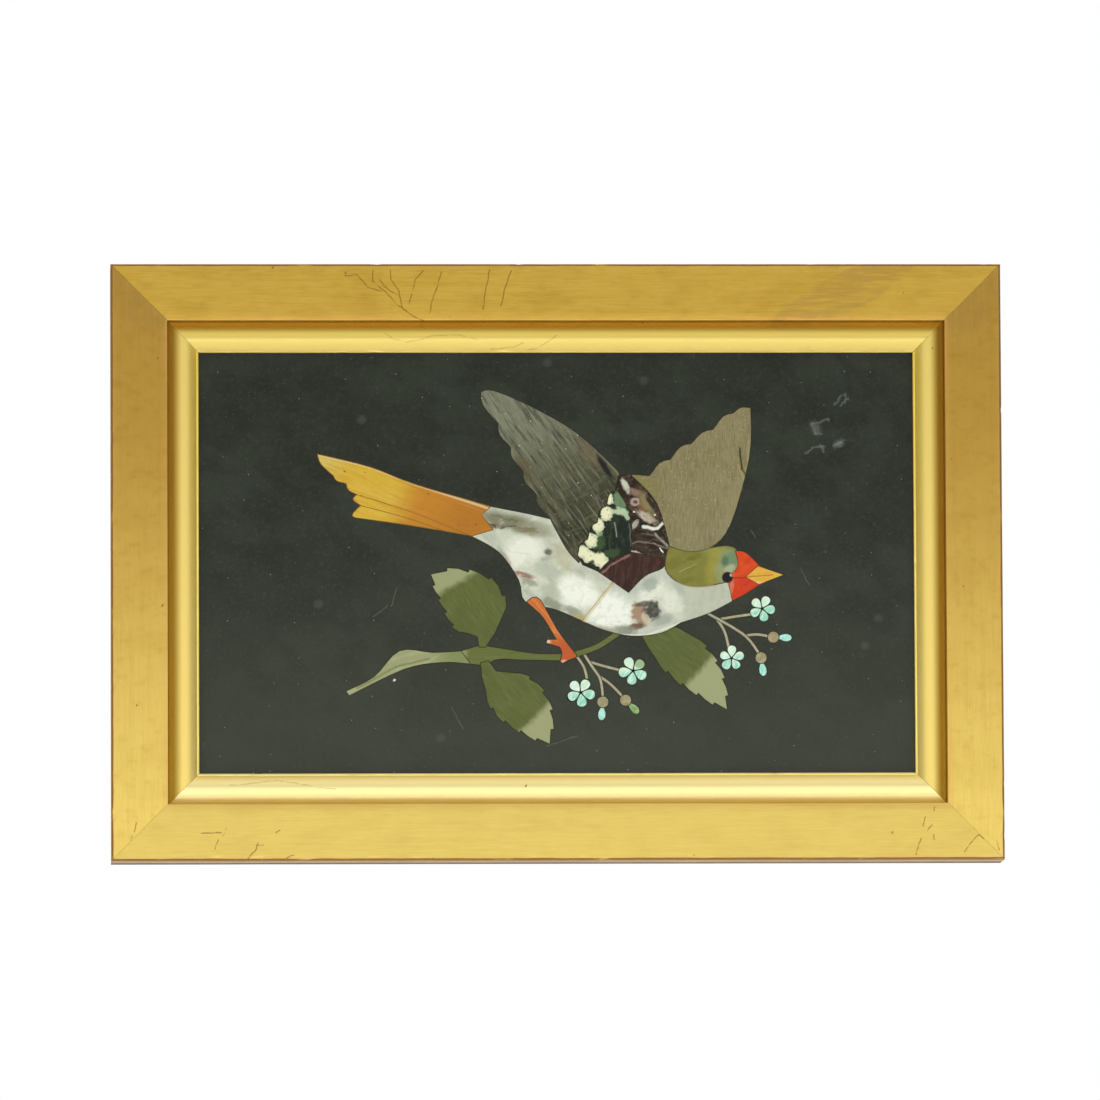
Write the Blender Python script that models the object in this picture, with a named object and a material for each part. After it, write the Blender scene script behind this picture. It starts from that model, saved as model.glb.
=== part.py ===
"""Inlaid stone panel in a gilt frame.

A slab of black marble has coloured stones let in flush with its face: a bird in flight over a
flowering spray. An outer moulding of four mitred rails and a rounded inner slip hold the slab.

The panel hangs on a wall. World +Z is up, the wall is the plane Y = 0 and the picture faces -Y.
The origin is on the flat back of the top rail, at the middle of its length and width.

The picture is drawn in its own plane, X to the right and Y up from the middle of the marble
that shows, with depth measured out from the wall. Every stone is drawn in hundredths of the
design's height, and each stone is cut to fit around those that were laid before it.
"""

import math

import bmesh
import bpy
from mathutils import Vector

# Driving sizes of the panel, in metres
SIGHT_WIDTH = 0.2575       # marble that shows between the side slips
SIGHT_HEIGHT = 0.1518      # marble that shows between the top and bottom slips
FRAME_DEPTH = 0.022        # from the wall to the face of the outer rails
FACE_WIDTH = 0.0205        # flat face of an outer rail
FACE_STEP = 0.004          # thickness of an outer rail's lip, over the slip
FACE_LAP = 0.0055          # how far that lip reaches over the slip
FACE_ARRIS = 0.0004        # bevel along both edges of an outer rail's face
SLIP_WIDTH = 0.0112        # slip that shows inside an outer rail
SLIP_LAP = 0.005           # how far the slip reaches over the slab
VALLEY_WIDTH = 0.0022      # flat channel between the outer rail and the roll
ROLL_RISE = 0.0024         # height of the roll above the channel
LIP_WIDTH = 0.0014         # flat lip along the marble
LIP_THICKNESS = 0.0016
LIP_DROP = 0.0011          # top of the lip below the channel
LIP_QUIRK = 0.0005         # small step from the lip up to the roll
SLAB_THICKNESS = 0.007
STONE_THICKNESS = 0.0022   # of every inlaid stone

# Fits
CLEARANCE = 0.0003         # between slab, slip and outer rail
MITRE_GAP = 0.0002         # between two rails, square to the mitre
JOINT = 0.0003             # around and under every stone

# The design on the marble
MARGIN_ABOVE = 0.0131      # from the top slip to the tip of the left wing
MARGIN_BELOW = 0.0106      # from the bottom slip to the tip of the lower leaf
TWIG_WIDTH = 0.00085
STALK_WIDTH = 0.0018       # of the branch beyond the bird's foot
FEATHER_BULGE = 0.0014     # round end of a wing feather past its notches
FEATHER_SKEW = 1.4         # above 1, each round end is fuller towards the tip of the wing
TAIL_BULGE = 0.0011
BORDER_BULGE = 0.0013      # of the cream border between shoulder and wing
LEAF_TEETH = 4             # along each side of a leaf
TOOTH_DEPTH = 0.0011       # of the saw edge of a leaf
TOOTH_SHAPE = ((0, 0), (0.5, 0.7), (0.97, 1))   # shares of its length, and of its depth there
TEETH_START = 0.25         # the teeth stand between these two shares of a leaf's side
TEETH_END = 0.88
EYE_RADIUS = 0.0018
PETALS = 5
LARGE_FLOWER = 0.0053      # reach of a petal from the middle of its flower
SMALL_FLOWER = 0.0046
PETAL_HUB = 0.14           # share of the reach at which two petals part
PETAL_SWELL = 0.45         # the nearer to 0, the fuller a petal
CALYX_RADIUS = 0.002
BUD_LENGTH = 0.0046
BUD_WIDTH = 0.0031
BUD_SKEW = 0.8             # the nearer to 0, the fuller a bud near its point

# How finely the curves are drawn
SMOOTH_STEPS = 4           # straight pieces between two anchors of a smooth edge
ROLL_STEPS = 8
FEATHER_STEPS = 5          # straight pieces around one feather end
PETAL_STEPS = 8            # points around one petal
ROUND_STEPS = 12           # points around a calyx, a bud or the eye
WELD = 0.00002             # points closer than this are one
WIDEST_MITRE = 4           # how far a sharp corner may run out when an outline grows
FLAT_ANGLE = math.radians(0.5)

# Levels above the wall
SLIP_SEAT = FRAME_DEPTH - FACE_STEP
VALLEY_LEVEL = SLIP_SEAT - CLEARANCE
LIP_LEVEL = VALLEY_LEVEL - LIP_DROP
LIP_UNDERSIDE = LIP_LEVEL - LIP_THICKNESS
SLAB_FACE = LIP_UNDERSIDE - CLEARANCE
SLAB_BACK = SLAB_FACE - SLAB_THICKNESS
STONE_BACK = SLAB_FACE - STONE_THICKNESS
RECESS_FLOOR = STONE_BACK - JOINT

# Distances out from the marble that shows
OUTER_EDGE = SLIP_WIDTH + FACE_WIDTH
REBATE_WALL = SLIP_WIDTH + FACE_LAP
SLIP_EDGE = REBATE_WALL - CLEARANCE
SLAB_EDGE = SLIP_LAP - CLEARANCE

# The design's scale and place: one unit is a hundredth of its height
UNIT = (SIGHT_HEIGHT - MARGIN_ABOVE - MARGIN_BELOW) / 100
DESIGN_FOOT = MARGIN_BELOW - SIGHT_HEIGHT / 2
CUTTER_RELIEF = FRAME_DEPTH - SLAB_FACE   # cutters stand this far out of the marble

# Base colour, roughness and metallic value of each material
FINISHES = {
    "gilt_face": ((0.58, 0.38, 0.10), 0.42, 0.85),
    "gilt_slip": ((0.68, 0.46, 0.14), 0.25, 0.9),
    "black_marble": ((0.025, 0.028, 0.024), 0.25, 0.0),
    "yellow_stone": ((0.62, 0.34, 0.06), 0.3, 0.0),
    "white_chalcedony": ((0.62, 0.66, 0.58), 0.25, 0.0),
    "grey_streaked_stone": ((0.12, 0.13, 0.08), 0.3, 0.0),
    "olive_grained_stone": ((0.22, 0.20, 0.10), 0.35, 0.0),
    "green_breccia": ((0.08, 0.12, 0.08), 0.25, 0.0),
    "veined_purple_stone": ((0.05, 0.03, 0.028), 0.25, 0.0),
    "maroon_stone": ((0.035, 0.014, 0.012), 0.25, 0.0),
    "olive_stone": ((0.19, 0.19, 0.045), 0.3, 0.0),
    "red_stone": ((0.62, 0.06, 0.015), 0.3, 0.0),
    "beak_stone": ((0.70, 0.40, 0.07), 0.3, 0.0),
    "black_stone": ((0.01, 0.01, 0.01), 0.15, 0.0),
    "orange_stone": ((0.52, 0.15, 0.04), 0.3, 0.0),
    "pale_green_stone": ((0.36, 0.37, 0.19), 0.35, 0.0),
    "leaf_stone": ((0.11, 0.13, 0.035), 0.35, 0.0),
    "twig_stone": ((0.36, 0.33, 0.20), 0.35, 0.0),
    "mint_stone": ((0.55, 0.80, 0.62), 0.3, 0.0),
    "calyx_stone": ((0.30, 0.24, 0.13), 0.35, 0.0),
}


# Scene, collections and materials

def clear_scene():
    """Remove whatever the scene holds."""
    for item in list(bpy.data.objects):
        bpy.data.objects.remove(item)


def new_collection(name):
    """An empty collection in the scene."""
    group = bpy.data.collections.new(name)
    bpy.context.scene.collection.children.link(group)
    return group


def finish(name):
    """The material of that name, made the first time it is asked for."""
    material = bpy.data.materials.get(name)
    if material is None:
        colour, roughness, metallic = FINISHES[name]
        material = bpy.data.materials.new(name)
        material.use_nodes = True
        shader = material.node_tree.nodes["Principled BSDF"]
        shader.inputs["Base Color"].default_value = (*colour, 1)
        shader.inputs["Roughness"].default_value = roughness
        shader.inputs["Metallic"].default_value = metallic
        material.diffuse_color = (*colour, 1)
    return material


# Drawing in the picture's plane

def points(*shares):
    """Points of the picture's plane, from pairs in hundredths of the design's height."""
    return [Vector((x * UNIT, DESIGN_FOOT + y * UNIT)) for x, y in shares]


def smooth(*shares, steps=SMOOTH_STEPS):
    """Points on a smooth curve through the anchors (a Catmull-Rom spline)."""
    anchors = points(*shares)
    padded = [anchors[0], *anchors, anchors[-1]]
    curve = []
    for before, start, end, after in zip(padded, padded[1:], padded[2:], padded[3:]):
        for step in range(steps):
            t = step / steps
            curve.append(0.5 * (2 * start
                                + (end - before) * t
                                + (2 * before - 5 * start + 4 * end - after) * t ** 2
                                + (3 * start - before - 3 * end + after) * t ** 3))
    return curve + [anchors[-1]]


def beside(path, share, offset):
    """The point at a share of a path's length, moved off to the left of it."""
    lengths = [(end - start).length for start, end in zip(path, path[1:])]
    remaining = share * sum(lengths)
    for start, end, length in zip(path, path[1:], lengths):
        if remaining <= length or end is path[-1]:
            along = (end - start) / length
            return start + along * remaining + Vector((-along.y, along.x)) * offset
        remaining -= length


def feathered(path, feathers, bulge):
    """A path whose left side is a row of round feather ends, fuller towards the far end."""
    edge = []
    for feather in range(feathers):
        for step in range(FEATHER_STEPS):
            share = step / FEATHER_STEPS
            rise = math.sin(math.pi * share ** FEATHER_SKEW)
            edge.append(beside(path, (feather + share) / feathers, bulge * rise))
    return edge + [path[-1]]


def toothed(path, side):
    """A path with saw teeth that point along it: on its left with side 1, right with -1."""
    pitch = (TEETH_END - TEETH_START) / LEAF_TEETH
    edge = [path[0], beside(path, TEETH_START / 2, 0)]
    for tooth in range(LEAF_TEETH):
        for along, rise in TOOTH_SHAPE:
            edge.append(beside(path, TEETH_START + (tooth + along) * pitch, side * rise * TOOTH_DEPTH))
    return edge + [beside(path, TEETH_END, 0), path[-1]]


def outline(*paths):
    """One closed outline from paths set end to end, running anticlockwise."""
    joined = []
    for point in (point for path in paths for point in path):
        if not joined or (point - joined[-1]).length > WELD:
            joined.append(point)
    if (joined[0] - joined[-1]).length <= WELD:
        joined.pop()
    doubled_area = sum(a.x * b.y - b.x * a.y for a, b in zip(joined, joined[1:] + joined[:1]))
    return joined if doubled_area > 0 else joined[::-1]


def grown(shape, distance):
    """A closed anticlockwise outline moved outwards by a distance, corners kept sharp."""
    larger = []
    for before, here, after in zip(shape[-1:] + shape[:-1], shape, shape[1:] + shape[:1]):
        entry = (here - before).normalized()
        leaving = (after - here).normalized()
        middle = Vector((entry.y + leaving.y, -entry.x - leaving.x)).normalized()
        mitre = 1 / max(middle.x * entry.y - middle.y * entry.x, 1 / WIDEST_MITRE)
        larger.append(here + middle * distance * mitre)
    return larger


def band(path, start_width, end_width):
    """The outline of a strip along a path, from one width to the other."""
    count = len(path) - 1
    shares = [step / count for step in range(count + 1)]
    halves = [(start_width + (end_width - start_width) * share) / 2 for share in shares]
    left = [beside(path, share, half) for share, half in zip(shares, halves)]
    right = [beside(path, share, -half) for share, half in zip(shares, halves)]
    return outline(left, right[::-1])


def disc(centre, radius):
    """The outline of a round stone."""
    turns = [2 * math.pi * step / ROUND_STEPS for step in range(ROUND_STEPS)]
    return [centre + radius * Vector((math.cos(turn), math.sin(turn))) for turn in turns]


def blossom(centre, reach, turn):
    """The outline of a flower: round petals that meet near its middle."""
    count = PETALS * PETAL_STEPS
    shape = []
    for step in range(count):
        angle = 2 * math.pi * step / count
        swell = abs(math.cos(PETALS * angle / 2)) ** PETAL_SWELL
        length = reach * (PETAL_HUB + (1 - PETAL_HUB) * swell)
        shape.append(centre + length * Vector((math.cos(angle + turn), math.sin(angle + turn))))
    return shape


def drop(start, heading, length, width):
    """The outline of a bud: a drop with its point at the start and a round end."""
    along = Vector((math.cos(heading), math.sin(heading)))
    across = Vector((-along.y, along.x))
    shape = []
    for step in range(ROUND_STEPS):
        turn = 2 * math.pi * step / ROUND_STEPS
        share = (1 - math.cos(turn)) / 2
        half = width / 2 * math.sin(turn) * math.sin(math.pi * share ** BUD_SKEW / 2)
        shape.append(start + along * length * share - across * half)
    return outline(shape)


# Solids

def solid_from(name, shape, low, high, group):
    """A flat outline made solid between two levels, as a closed mesh."""
    curve = bpy.data.curves.new(name, "CURVE")
    curve.dimensions = "2D"
    curve.fill_mode = "BOTH"
    curve.extrude = (high - low) / 2
    spline = curve.splines.new("POLY")
    spline.points.add(len(shape) - 1)
    spline.use_cyclic_u = True
    for control, place in zip(spline.points, shape):
        control.co = (place[0], place[1], 0, 1)
    drawn = bpy.data.objects.new(name + "_outline", curve)
    group.objects.link(drawn)
    bpy.context.view_layer.update()
    evaluated = drawn.evaluated_get(bpy.context.evaluated_depsgraph_get())
    mesh = bpy.data.meshes.new_from_object(evaluated)
    bpy.data.objects.remove(drawn)

    shell = bmesh.new()
    shell.from_mesh(mesh)
    bmesh.ops.remove_doubles(shell, verts=shell.verts, dist=WELD)
    bmesh.ops.recalc_face_normals(shell, faces=shell.faces)
    shell.to_mesh(mesh)
    shell.free()
    mesh.name = name
    mesh.materials.clear()
    solid = bpy.data.objects.new(name, mesh)
    solid.location.z = (low + high) / 2
    group.objects.link(solid)
    return solid


def cut(piece, cutters):
    """Take the shapes of some cutters out of a piece, and clear its flat faces of stray edges."""
    for cutter in cutters:
        modifier = piece.modifiers.new("around_" + cutter.name, "BOOLEAN")
        modifier.operation = "DIFFERENCE"
        modifier.solver = "EXACT"
        modifier.object = cutter
    flatten = piece.modifiers.new("flat_faces", "DECIMATE")
    flatten.decimate_type = "DISSOLVE"
    flatten.angle_limit = FLAT_ANGLE


def lay(name, material, shape, around=()):
    """An inlaid stone, flush with the marble and cut to fit around stones already laid."""
    stone = solid_from(name, shape, STONE_BACK, SLAB_FACE, PARTS)
    stone.parent = PANEL
    stone.data.materials.append(finish(material))
    cut(stone, [bpy.data.objects["recess_" + neighbour] for neighbour in around])
    recess = solid_from("recess_" + name, grown(shape, JOINT), RECESS_FLOOR,
                        SLAB_FACE + CUTTER_RELIEF, CUTTERS)
    recess.parent = PANEL
    recess.hide_render = True
    recess.display_type = "WIRE"
    return stone


# Frame

def outer_profile():
    """Section of an outer rail: distance out from the marble, and level above the wall."""
    return [(REBATE_WALL, 0), (OUTER_EDGE, 0),
            (OUTER_EDGE, FRAME_DEPTH - FACE_ARRIS), (OUTER_EDGE - FACE_ARRIS, FRAME_DEPTH),
            (SLIP_WIDTH + FACE_ARRIS, FRAME_DEPTH), (SLIP_WIDTH, FRAME_DEPTH - FACE_ARRIS),
            (SLIP_WIDTH, SLIP_SEAT), (REBATE_WALL, SLIP_SEAT)]


def slip_profile():
    """Section of a slip: a lip over the marble, a half-round roll and a flat channel."""
    roll_width = SLIP_WIDTH - VALLEY_WIDTH - LIP_WIDTH
    foot = LIP_LEVEL + LIP_QUIRK
    roll = []
    for step in range(ROLL_STEPS + 1):
        share = step / ROLL_STEPS
        out = LIP_WIDTH + roll_width * (1 - math.cos(math.pi * share)) / 2
        level = foot + (VALLEY_LEVEL - foot) * share + ROLL_RISE * math.sin(math.pi * share)
        roll.append((out, level))
    return [(SLIP_LAP, LIP_UNDERSIDE), (0, LIP_UNDERSIDE), (0, LIP_LEVEL),
            (LIP_WIDTH, LIP_LEVEL), *roll, (SLIP_EDGE, VALLEY_LEVEL),
            (SLIP_EDGE, SLAB_BACK), (SLIP_LAP, SLAB_BACK)]


def mitred_rail(name, material, profile, side_length, side_distance, turn):
    """A rail on one side of the marble, its two ends cut on the mitre."""
    rail = solid_from(name, profile, -side_length / 2, side_length / 2, PARTS)
    for vertex in rail.data.vertices:
        half = side_length / 2 + vertex.co.x - MITRE_GAP / math.sqrt(2)
        vertex.co.z = math.copysign(half, vertex.co.z)
    rail.rotation_euler = (math.pi / 2, 0, turn)
    rail.location = (side_distance * math.cos(turn), side_distance * math.sin(turn), 0)
    rail.parent = PANEL
    rail.data.materials.append(finish(material))


def build_frame():
    """Outer rails and slips on all four sides of the marble."""
    sides = {"right": 0, "top": 1, "left": 2, "bottom": 3}
    for side, quarter in sides.items():
        upright = quarter % 2 == 0
        length = SIGHT_HEIGHT if upright else SIGHT_WIDTH
        distance = (SIGHT_WIDTH if upright else SIGHT_HEIGHT) / 2
        turn = quarter * math.pi / 2
        mitred_rail("frame_rail_" + side, "gilt_face", outer_profile(), length, distance, turn)
        mitred_rail("slip_rail_" + side, "gilt_slip", slip_profile(), length, distance, turn)


# Bird

def build_head():
    """Eye, beak and red face."""
    eye_centre, = points((48.1, 46.9))
    lay("eye", "black_stone", disc(eye_centre, EYE_RADIUS))
    lay("beak", "beak_stone", outline(points((53.3, 47)), smooth((56.7, 50), (63.7, 47.6)),
                                      smooth((63.7, 47.6), (57, 45))))
    lay("face_upper", "red_stone",
        outline(smooth((50.5, 54.3), (53.2, 53.8), (57, 50)),
                points((56, 46.9), (49, 46.9)),
                smooth((49, 47.5), (51.2, 50), (50.5, 54.3))),
        around=("eye", "beak"))
    lay("face_lower", "red_stone",
        outline(points((49, 46.9), (56, 46.9)), smooth((57.2, 45.2), (54, 43), (49.5, 40.4)),
                points((48.5, 45))),
        around=("eye", "beak", "face_upper"))


def build_wing_right():
    """The far wing, with a row of feather ends along its upper left edge."""
    notches = smooth((26.3, 75.5), (37.3, 84), (43, 87.6), (50, 93.2))
    lay("wing_right", "olive_grained_stone",
        outline(points((21.2, 75.9)), feathered(notches, 4, FEATHER_BULGE),
                smooth((50, 93.2), (52.2, 94.8), (54.8, 94.7)),
                smooth((54.8, 94.7), (54.4, 81), (49, 62), (43.5, 55.6), (37.3, 54.3), (31.9, 55.8)),
                smooth((31.9, 55.8), (28.3, 68), (21.2, 75.9))))


def build_nape():
    """The green stone from the back of the neck over the crown."""
    lay("nape", "olive_stone",
        outline(smooth((31.9, 56.5), (30.7, 49.4), (35, 45.2), (41, 44.4), (47, 45.5)),
                points((50, 46.5)), smooth((51.2, 50), (50.8, 54.4), (48, 55.7), (43, 55)),
                points((37, 56.5))),
        around=("eye", "face_upper", "face_lower", "wing_right"))


def build_shoulder():
    """Three dark stones between the wings; the green one has a knobbly cream border."""
    border = smooth((17, 71.5), (13.6, 66), (10, 59.5), (6, 53.2))
    lay("shoulder_green", "green_breccia",
        outline(feathered(border[::-1], 4, BORDER_BULGE),
                smooth((17, 71.5), (20, 66.5), (21.2, 60), (20.7, 53.8)),
                smooth((20.7, 53.8), (15, 51.8), (11.8, 48.7)), points((7.4, 50.6))))
    lay("shoulder_maroon", "maroon_stone",
        outline(points((11.7, 48.7), (14, 53), (19, 55)), smooth((20.7, 54), (26, 52.9), (30.6, 51.6)),
                smooth((30.6, 51.6), (29.7, 49.6), (24.8, 47.4), (20.2, 42.8))),
        around=("shoulder_green",))
    lay("shoulder_veined", "veined_purple_stone",
        outline(smooth((17.6, 75.6), (20.6, 76)), smooth((22, 75.4), (29, 66.5), (32, 56)),
                points((31, 51)), smooth((26, 52), (20.7, 53.6)),
                points((20.7, 61), (19.5, 66.5), (16.6, 71.5))),
        around=("shoulder_green", "shoulder_maroon", "wing_right", "nape"))


def build_wing_left():
    """The near wing, with a row of feather ends along its lower left edge."""
    notches = smooth((-1.8, 63.8), (-8.4, 75.6), (-16.2, 90.4))
    lay("wing_left", "grey_streaked_stone",
        outline(feathered(notches, 4, FEATHER_BULGE),
                smooth((-16.2, 90.4), (-20.4, 95.6), (-21, 99.2)),
                smooth((-21, 99.2), (-17.6, 99.6), (-7.2, 95.2), (6, 87.5), (17.6, 76.6)),
                points((18, 72), (14, 62), (8.5, 54), (6.2, 51.2)),
                smooth((6.2, 51.2), (2.8, 55.2), (-1.8, 63.8))),
        around=("shoulder_green", "shoulder_veined"))


def build_tail():
    """Three long feathers, fanned a little and ending in round tips."""
    root = (-23.8, 58.7)
    seam_upper = smooth(root, (-39.5, 65.1), (-55.8, 70.4))
    seam_lower = smooth((-31.5, 60.2), (-42.5, 64), (-54.8, 67.3))
    lay("tail_feather_upper", "yellow_stone",
        outline(seam_upper, feathered(smooth((-55.8, 70.4), (-59.5, 74), (-62.6, 75.8)), 2, TAIL_BULGE),
                smooth((-62.6, 75.8), (-66, 79), (-67, 81.6)),
                smooth((-67, 81.6), (-52.5, 78), (-39.5, 73), (-18.7, 66.9)),
                points((-21.2, 64.6), (-18, 60.5))))
    lay("tail_feather_middle", "yellow_stone",
        outline(seam_upper, smooth((-55.8, 70.4), (-57, 69), (-54.8, 67.3)), seam_lower[::-1]),
        around=("tail_feather_upper",))
    lay("tail_feather_lower", "yellow_stone",
        outline(seam_lower, smooth((-54.8, 67.3), (-57.3, 64.8), (-56.6, 63.9)),
                smooth((-56.6, 63.9), (-43.7, 62.2), (-31.5, 60.2))),
        around=("tail_feather_upper", "tail_feather_middle"))


def build_leg():
    """Thigh, shank, foot and a short back toe, in one stone."""
    front = smooth((-8.4, 40), (-6.6, 41.2), (-4.5, 40.2), (0, 32.2), (4.2, 26.5), (5.4, 25))
    back = smooth((0, 29.4), (-1.2, 31.4), (-4.2, 36.2), (-8.4, 40))
    lay("leg", "orange_stone",
        outline(front, smooth((5.2, 24.4), (3.2, 23.7), (1.5, 22.8)),
                smooth((1, 23.4), (1.5, 25.6), (0.8, 27.4)),
                points((-2.9, 28.5), (-2.7, 29.3)), back))


def build_body():
    """The white breast and the longer white stone behind it."""
    seam = smooth((16.3, 46), (12.2, 41), (7.3, 34.7))
    lay("breast", "white_chalcedony",
        outline(points((16.3, 46), (21, 47.5), (27, 50.5), (31.5, 51), (37, 47), (45, 47), (49.2, 46)),
                smooth((49.6, 40.4), (42.6, 36.8), (34.8, 34.2)),
                smooth((34.8, 34.2), (29.2, 31.3), (21, 30.5), (13.2, 32.2), (7.3, 34.7)), seam[::-1]),
        around=("eye", "face_lower", "nape", "shoulder_green", "shoulder_maroon"))
    lay("body_rear", "white_chalcedony",
        outline(smooth((-18.7, 66.9), (-8, 64.8), (-0.5, 63)),
                points((4, 58), (10, 52.5), (15, 49)), seam,
                smooth((7.3, 34.7), (-0.4, 38), (-8.8, 40.2), (-10.6, 46.2), (-16, 54), (-23.8, 58.7)),
                points((-22.6, 61), (-22.6, 64.8))),
        around=("breast", "wing_left", "shoulder_green", "shoulder_maroon", "leg",
                "tail_feather_upper"))


# Spray

def build_leaves():
    """Three saw-edged leaves, one of them partly under the breast."""
    leaves = {
        "leaf_upper": (((-20.1, 27.4), (-17.2, 32), (-14.8, 39.5), (-19, 46.2), (-28, 48.8), (-35.3, 47.8)),
                       ((-35.3, 47.8), (-32, 40), (-28.2, 32.8), (-22, 30.2), (-21.8, 27.4))),
        "leaf_lower": (((-21.4, 22.9), (-21, 18.5), (-17.6, 9.6), (-11, 4.4), (-2.2, 0.1)),
                       ((-2.2, 0.1), (-2.2, 9.8), (-6.5, 17.2), (-13, 20), (-18.6, 20.8), (-19.4, 23.4))),
        "leaf_right": (((23.4, 31.6), (27, 25.2), (33.5, 18.6), (40, 14.2), (47.7, 9.7)),
                       ((47.7, 9.7), (46, 19.4), (42, 26.4), (36.5, 31.4), (31, 33.6))),
    }
    for name, (first_side, second_side) in leaves.items():
        to_tip = smooth(*first_side)
        from_tip = smooth(*second_side)
        lay(name, "leaf_stone",
            outline(toothed(to_tip, -1), toothed(from_tip[::-1], 1)[::-1]),
            around=("breast",) if name == "leaf_right" else ())


def build_branch():
    """A pale torn end, the stem that carries the leaves, and the stalk beyond the foot."""
    joint_top, joint_bottom = (-27, 26.1), (-24.6, 22.7)
    lay("branch_end", "pale_green_stone",
        outline(smooth((-59.2, 14.9), (-51.3, 19), (-44.2, 26.2), (-35, 25.7), joint_top),
                smooth(joint_bottom, (-32.5, 23.1), (-43, 21.2), (-58.4, 13.8))))
    lay("branch_stem", "leaf_stone",
        outline(points(joint_top), smooth((-21.5, 27.8), (-14, 26.6), (-6, 25.4), (3, 25.3)),
                smooth((3, 23.5), (-10, 23.8), (-16.5, 24), (-20.5, 22.4), joint_bottom)),
        around=("branch_end", "leaf_upper", "leaf_lower", "leg"))
    lay("branch_far", "leaf_stone",
        band(smooth((3.6, 24.9), (11, 27.2), (17.8, 31.6)), STALK_WIDTH, STALK_WIDTH),
        around=("branch_stem", "leg", "breast", "body_rear"))


def build_flowers():
    """Four five-petalled flowers, and four buds that each hang from a round calyx."""
    flowers = [((6.6, 14.5), LARGE_FLOWER, 60), ((21.4, 20.6), LARGE_FLOWER, 45),
               ((57.8, 38.1), SMALL_FLOWER, 65), ((49.1, 24.1), SMALL_FLOWER, 88)]
    for number, (place, reach, turn) in enumerate(flowers, start=1):
        centre, = points(place)
        lay(f"flower_{number}", "mint_stone", blossom(centre, reach, math.radians(turn)))

    buds = [((12.8, 11.8), 265), ((19.2, 12.3), 315), ((60.9, 30), 358), ((57.4, 24.2), 278)]
    for number, (place, heading) in enumerate(buds, start=1):
        centre, = points(place)
        calyx, bud = f"calyx_{number}", f"bud_{number}"
        heading = math.radians(heading)
        along = Vector((math.cos(heading), math.sin(heading)))
        lay(calyx, "calyx_stone", disc(centre, CALYX_RADIUS))
        lay(bud, "mint_stone", drop(centre + along * CALYX_RADIUS / 2, heading,
                                    BUD_LENGTH + CALYX_RADIUS / 2, BUD_WIDTH), around=(calyx,))


def build_twigs():
    """Thin stalks from the branch and the breast to every flower and bud."""
    twigs = [
        (((5.6, 24.6), (7.6, 21.5), (8.5, 17.6)), ("branch_far", "branch_stem", "leg", "flower_1")),
        (((7.4, 25.6), (10, 21.5), (12.2, 18), (12.9, 12)), ("branch_far", "calyx_1")),
        (((9, 23.2), (12.5, 22.1), (18.6, 20.5)), ("twig_2", "flower_2")),
        (((11.6, 19.2), (15, 16.8), (18.9, 12.8)), ("twig_2", "calyx_2")),
        (((41.6, 37.2), (49.6, 32.7), (54, 29.4), (57.3, 24.6)), ("breast", "calyx_4")),
        (((45.8, 35.1), (50, 35.8), (55.6, 36.6)), ("twig_5", "flower_3")),
        (((44.9, 35.2), (47.2, 31.6), (48.4, 26.6)), ("twig_5", "flower_4")),
        (((52.8, 30.4), (56.4, 30.8), (60.6, 30)), ("twig_5", "calyx_3")),
    ]
    for number, (route, around) in enumerate(twigs, start=1):
        lay(f"twig_{number}", "twig_stone", band(smooth(*route), TWIG_WIDTH, TWIG_WIDTH), around)


# Slab

def build_slab():
    """The black marble, with one recess cut for every stone."""
    width = SIGHT_WIDTH + 2 * SLAB_EDGE
    height = SIGHT_HEIGHT + 2 * SLAB_EDGE
    bpy.ops.mesh.primitive_cube_add(size=1)
    slab = bpy.context.active_object
    slab.name = "ground_slab"
    slab.data.name = "ground_slab"
    for vertex in slab.data.vertices:
        vertex.co *= Vector((width, height, SLAB_THICKNESS))
    for group in slab.users_collection:
        group.objects.unlink(slab)
    PARTS.objects.link(slab)
    slab.location.z = (SLAB_FACE + SLAB_BACK) / 2
    slab.parent = PANEL
    slab.data.materials.append(finish("black_marble"))
    cut(slab, CUTTERS.objects)


clear_scene()
PARTS = new_collection("inlaid_stone_panel")
CUTTERS = new_collection("recess_cutters")
PANEL = bpy.data.objects.new("panel_plane", None)
PANEL.rotation_euler.x = math.pi / 2
PANEL.location.z = -(SIGHT_HEIGHT / 2 + (REBATE_WALL + OUTER_EDGE) / 2)
PARTS.objects.link(PANEL)

build_frame()
build_head()
build_wing_right()
build_nape()
build_shoulder()
build_wing_left()
build_tail()
build_leg()
build_body()
build_leaves()
build_branch()
build_flowers()
build_twigs()
build_slab()
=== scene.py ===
"""Dresses the inlaid stone panel: gold leaf, polished marble and a stone for each piece of the bird.

The panel's solids come from the frame and stay as they are. The stones and the slab get their
finishes in place, the rails are made again with rounded and worn edges, each flower becomes five
petals, and wax fills the joints between the stones.

The picture's plane is measured in millimetres from the middle of the marble that shows, X to
the right and Y up, with Z the depth out from the wall. Colours are given as they look in the
panel's light, in sRGB from 0 to 255.
"""

from __future__ import annotations

import logging
import math
from abc import ABC, abstractmethod
from dataclasses import dataclass, replace
from enum import Enum
from typing import Union

import bmesh
import bpy
from mathutils import Matrix, Vector

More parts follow.
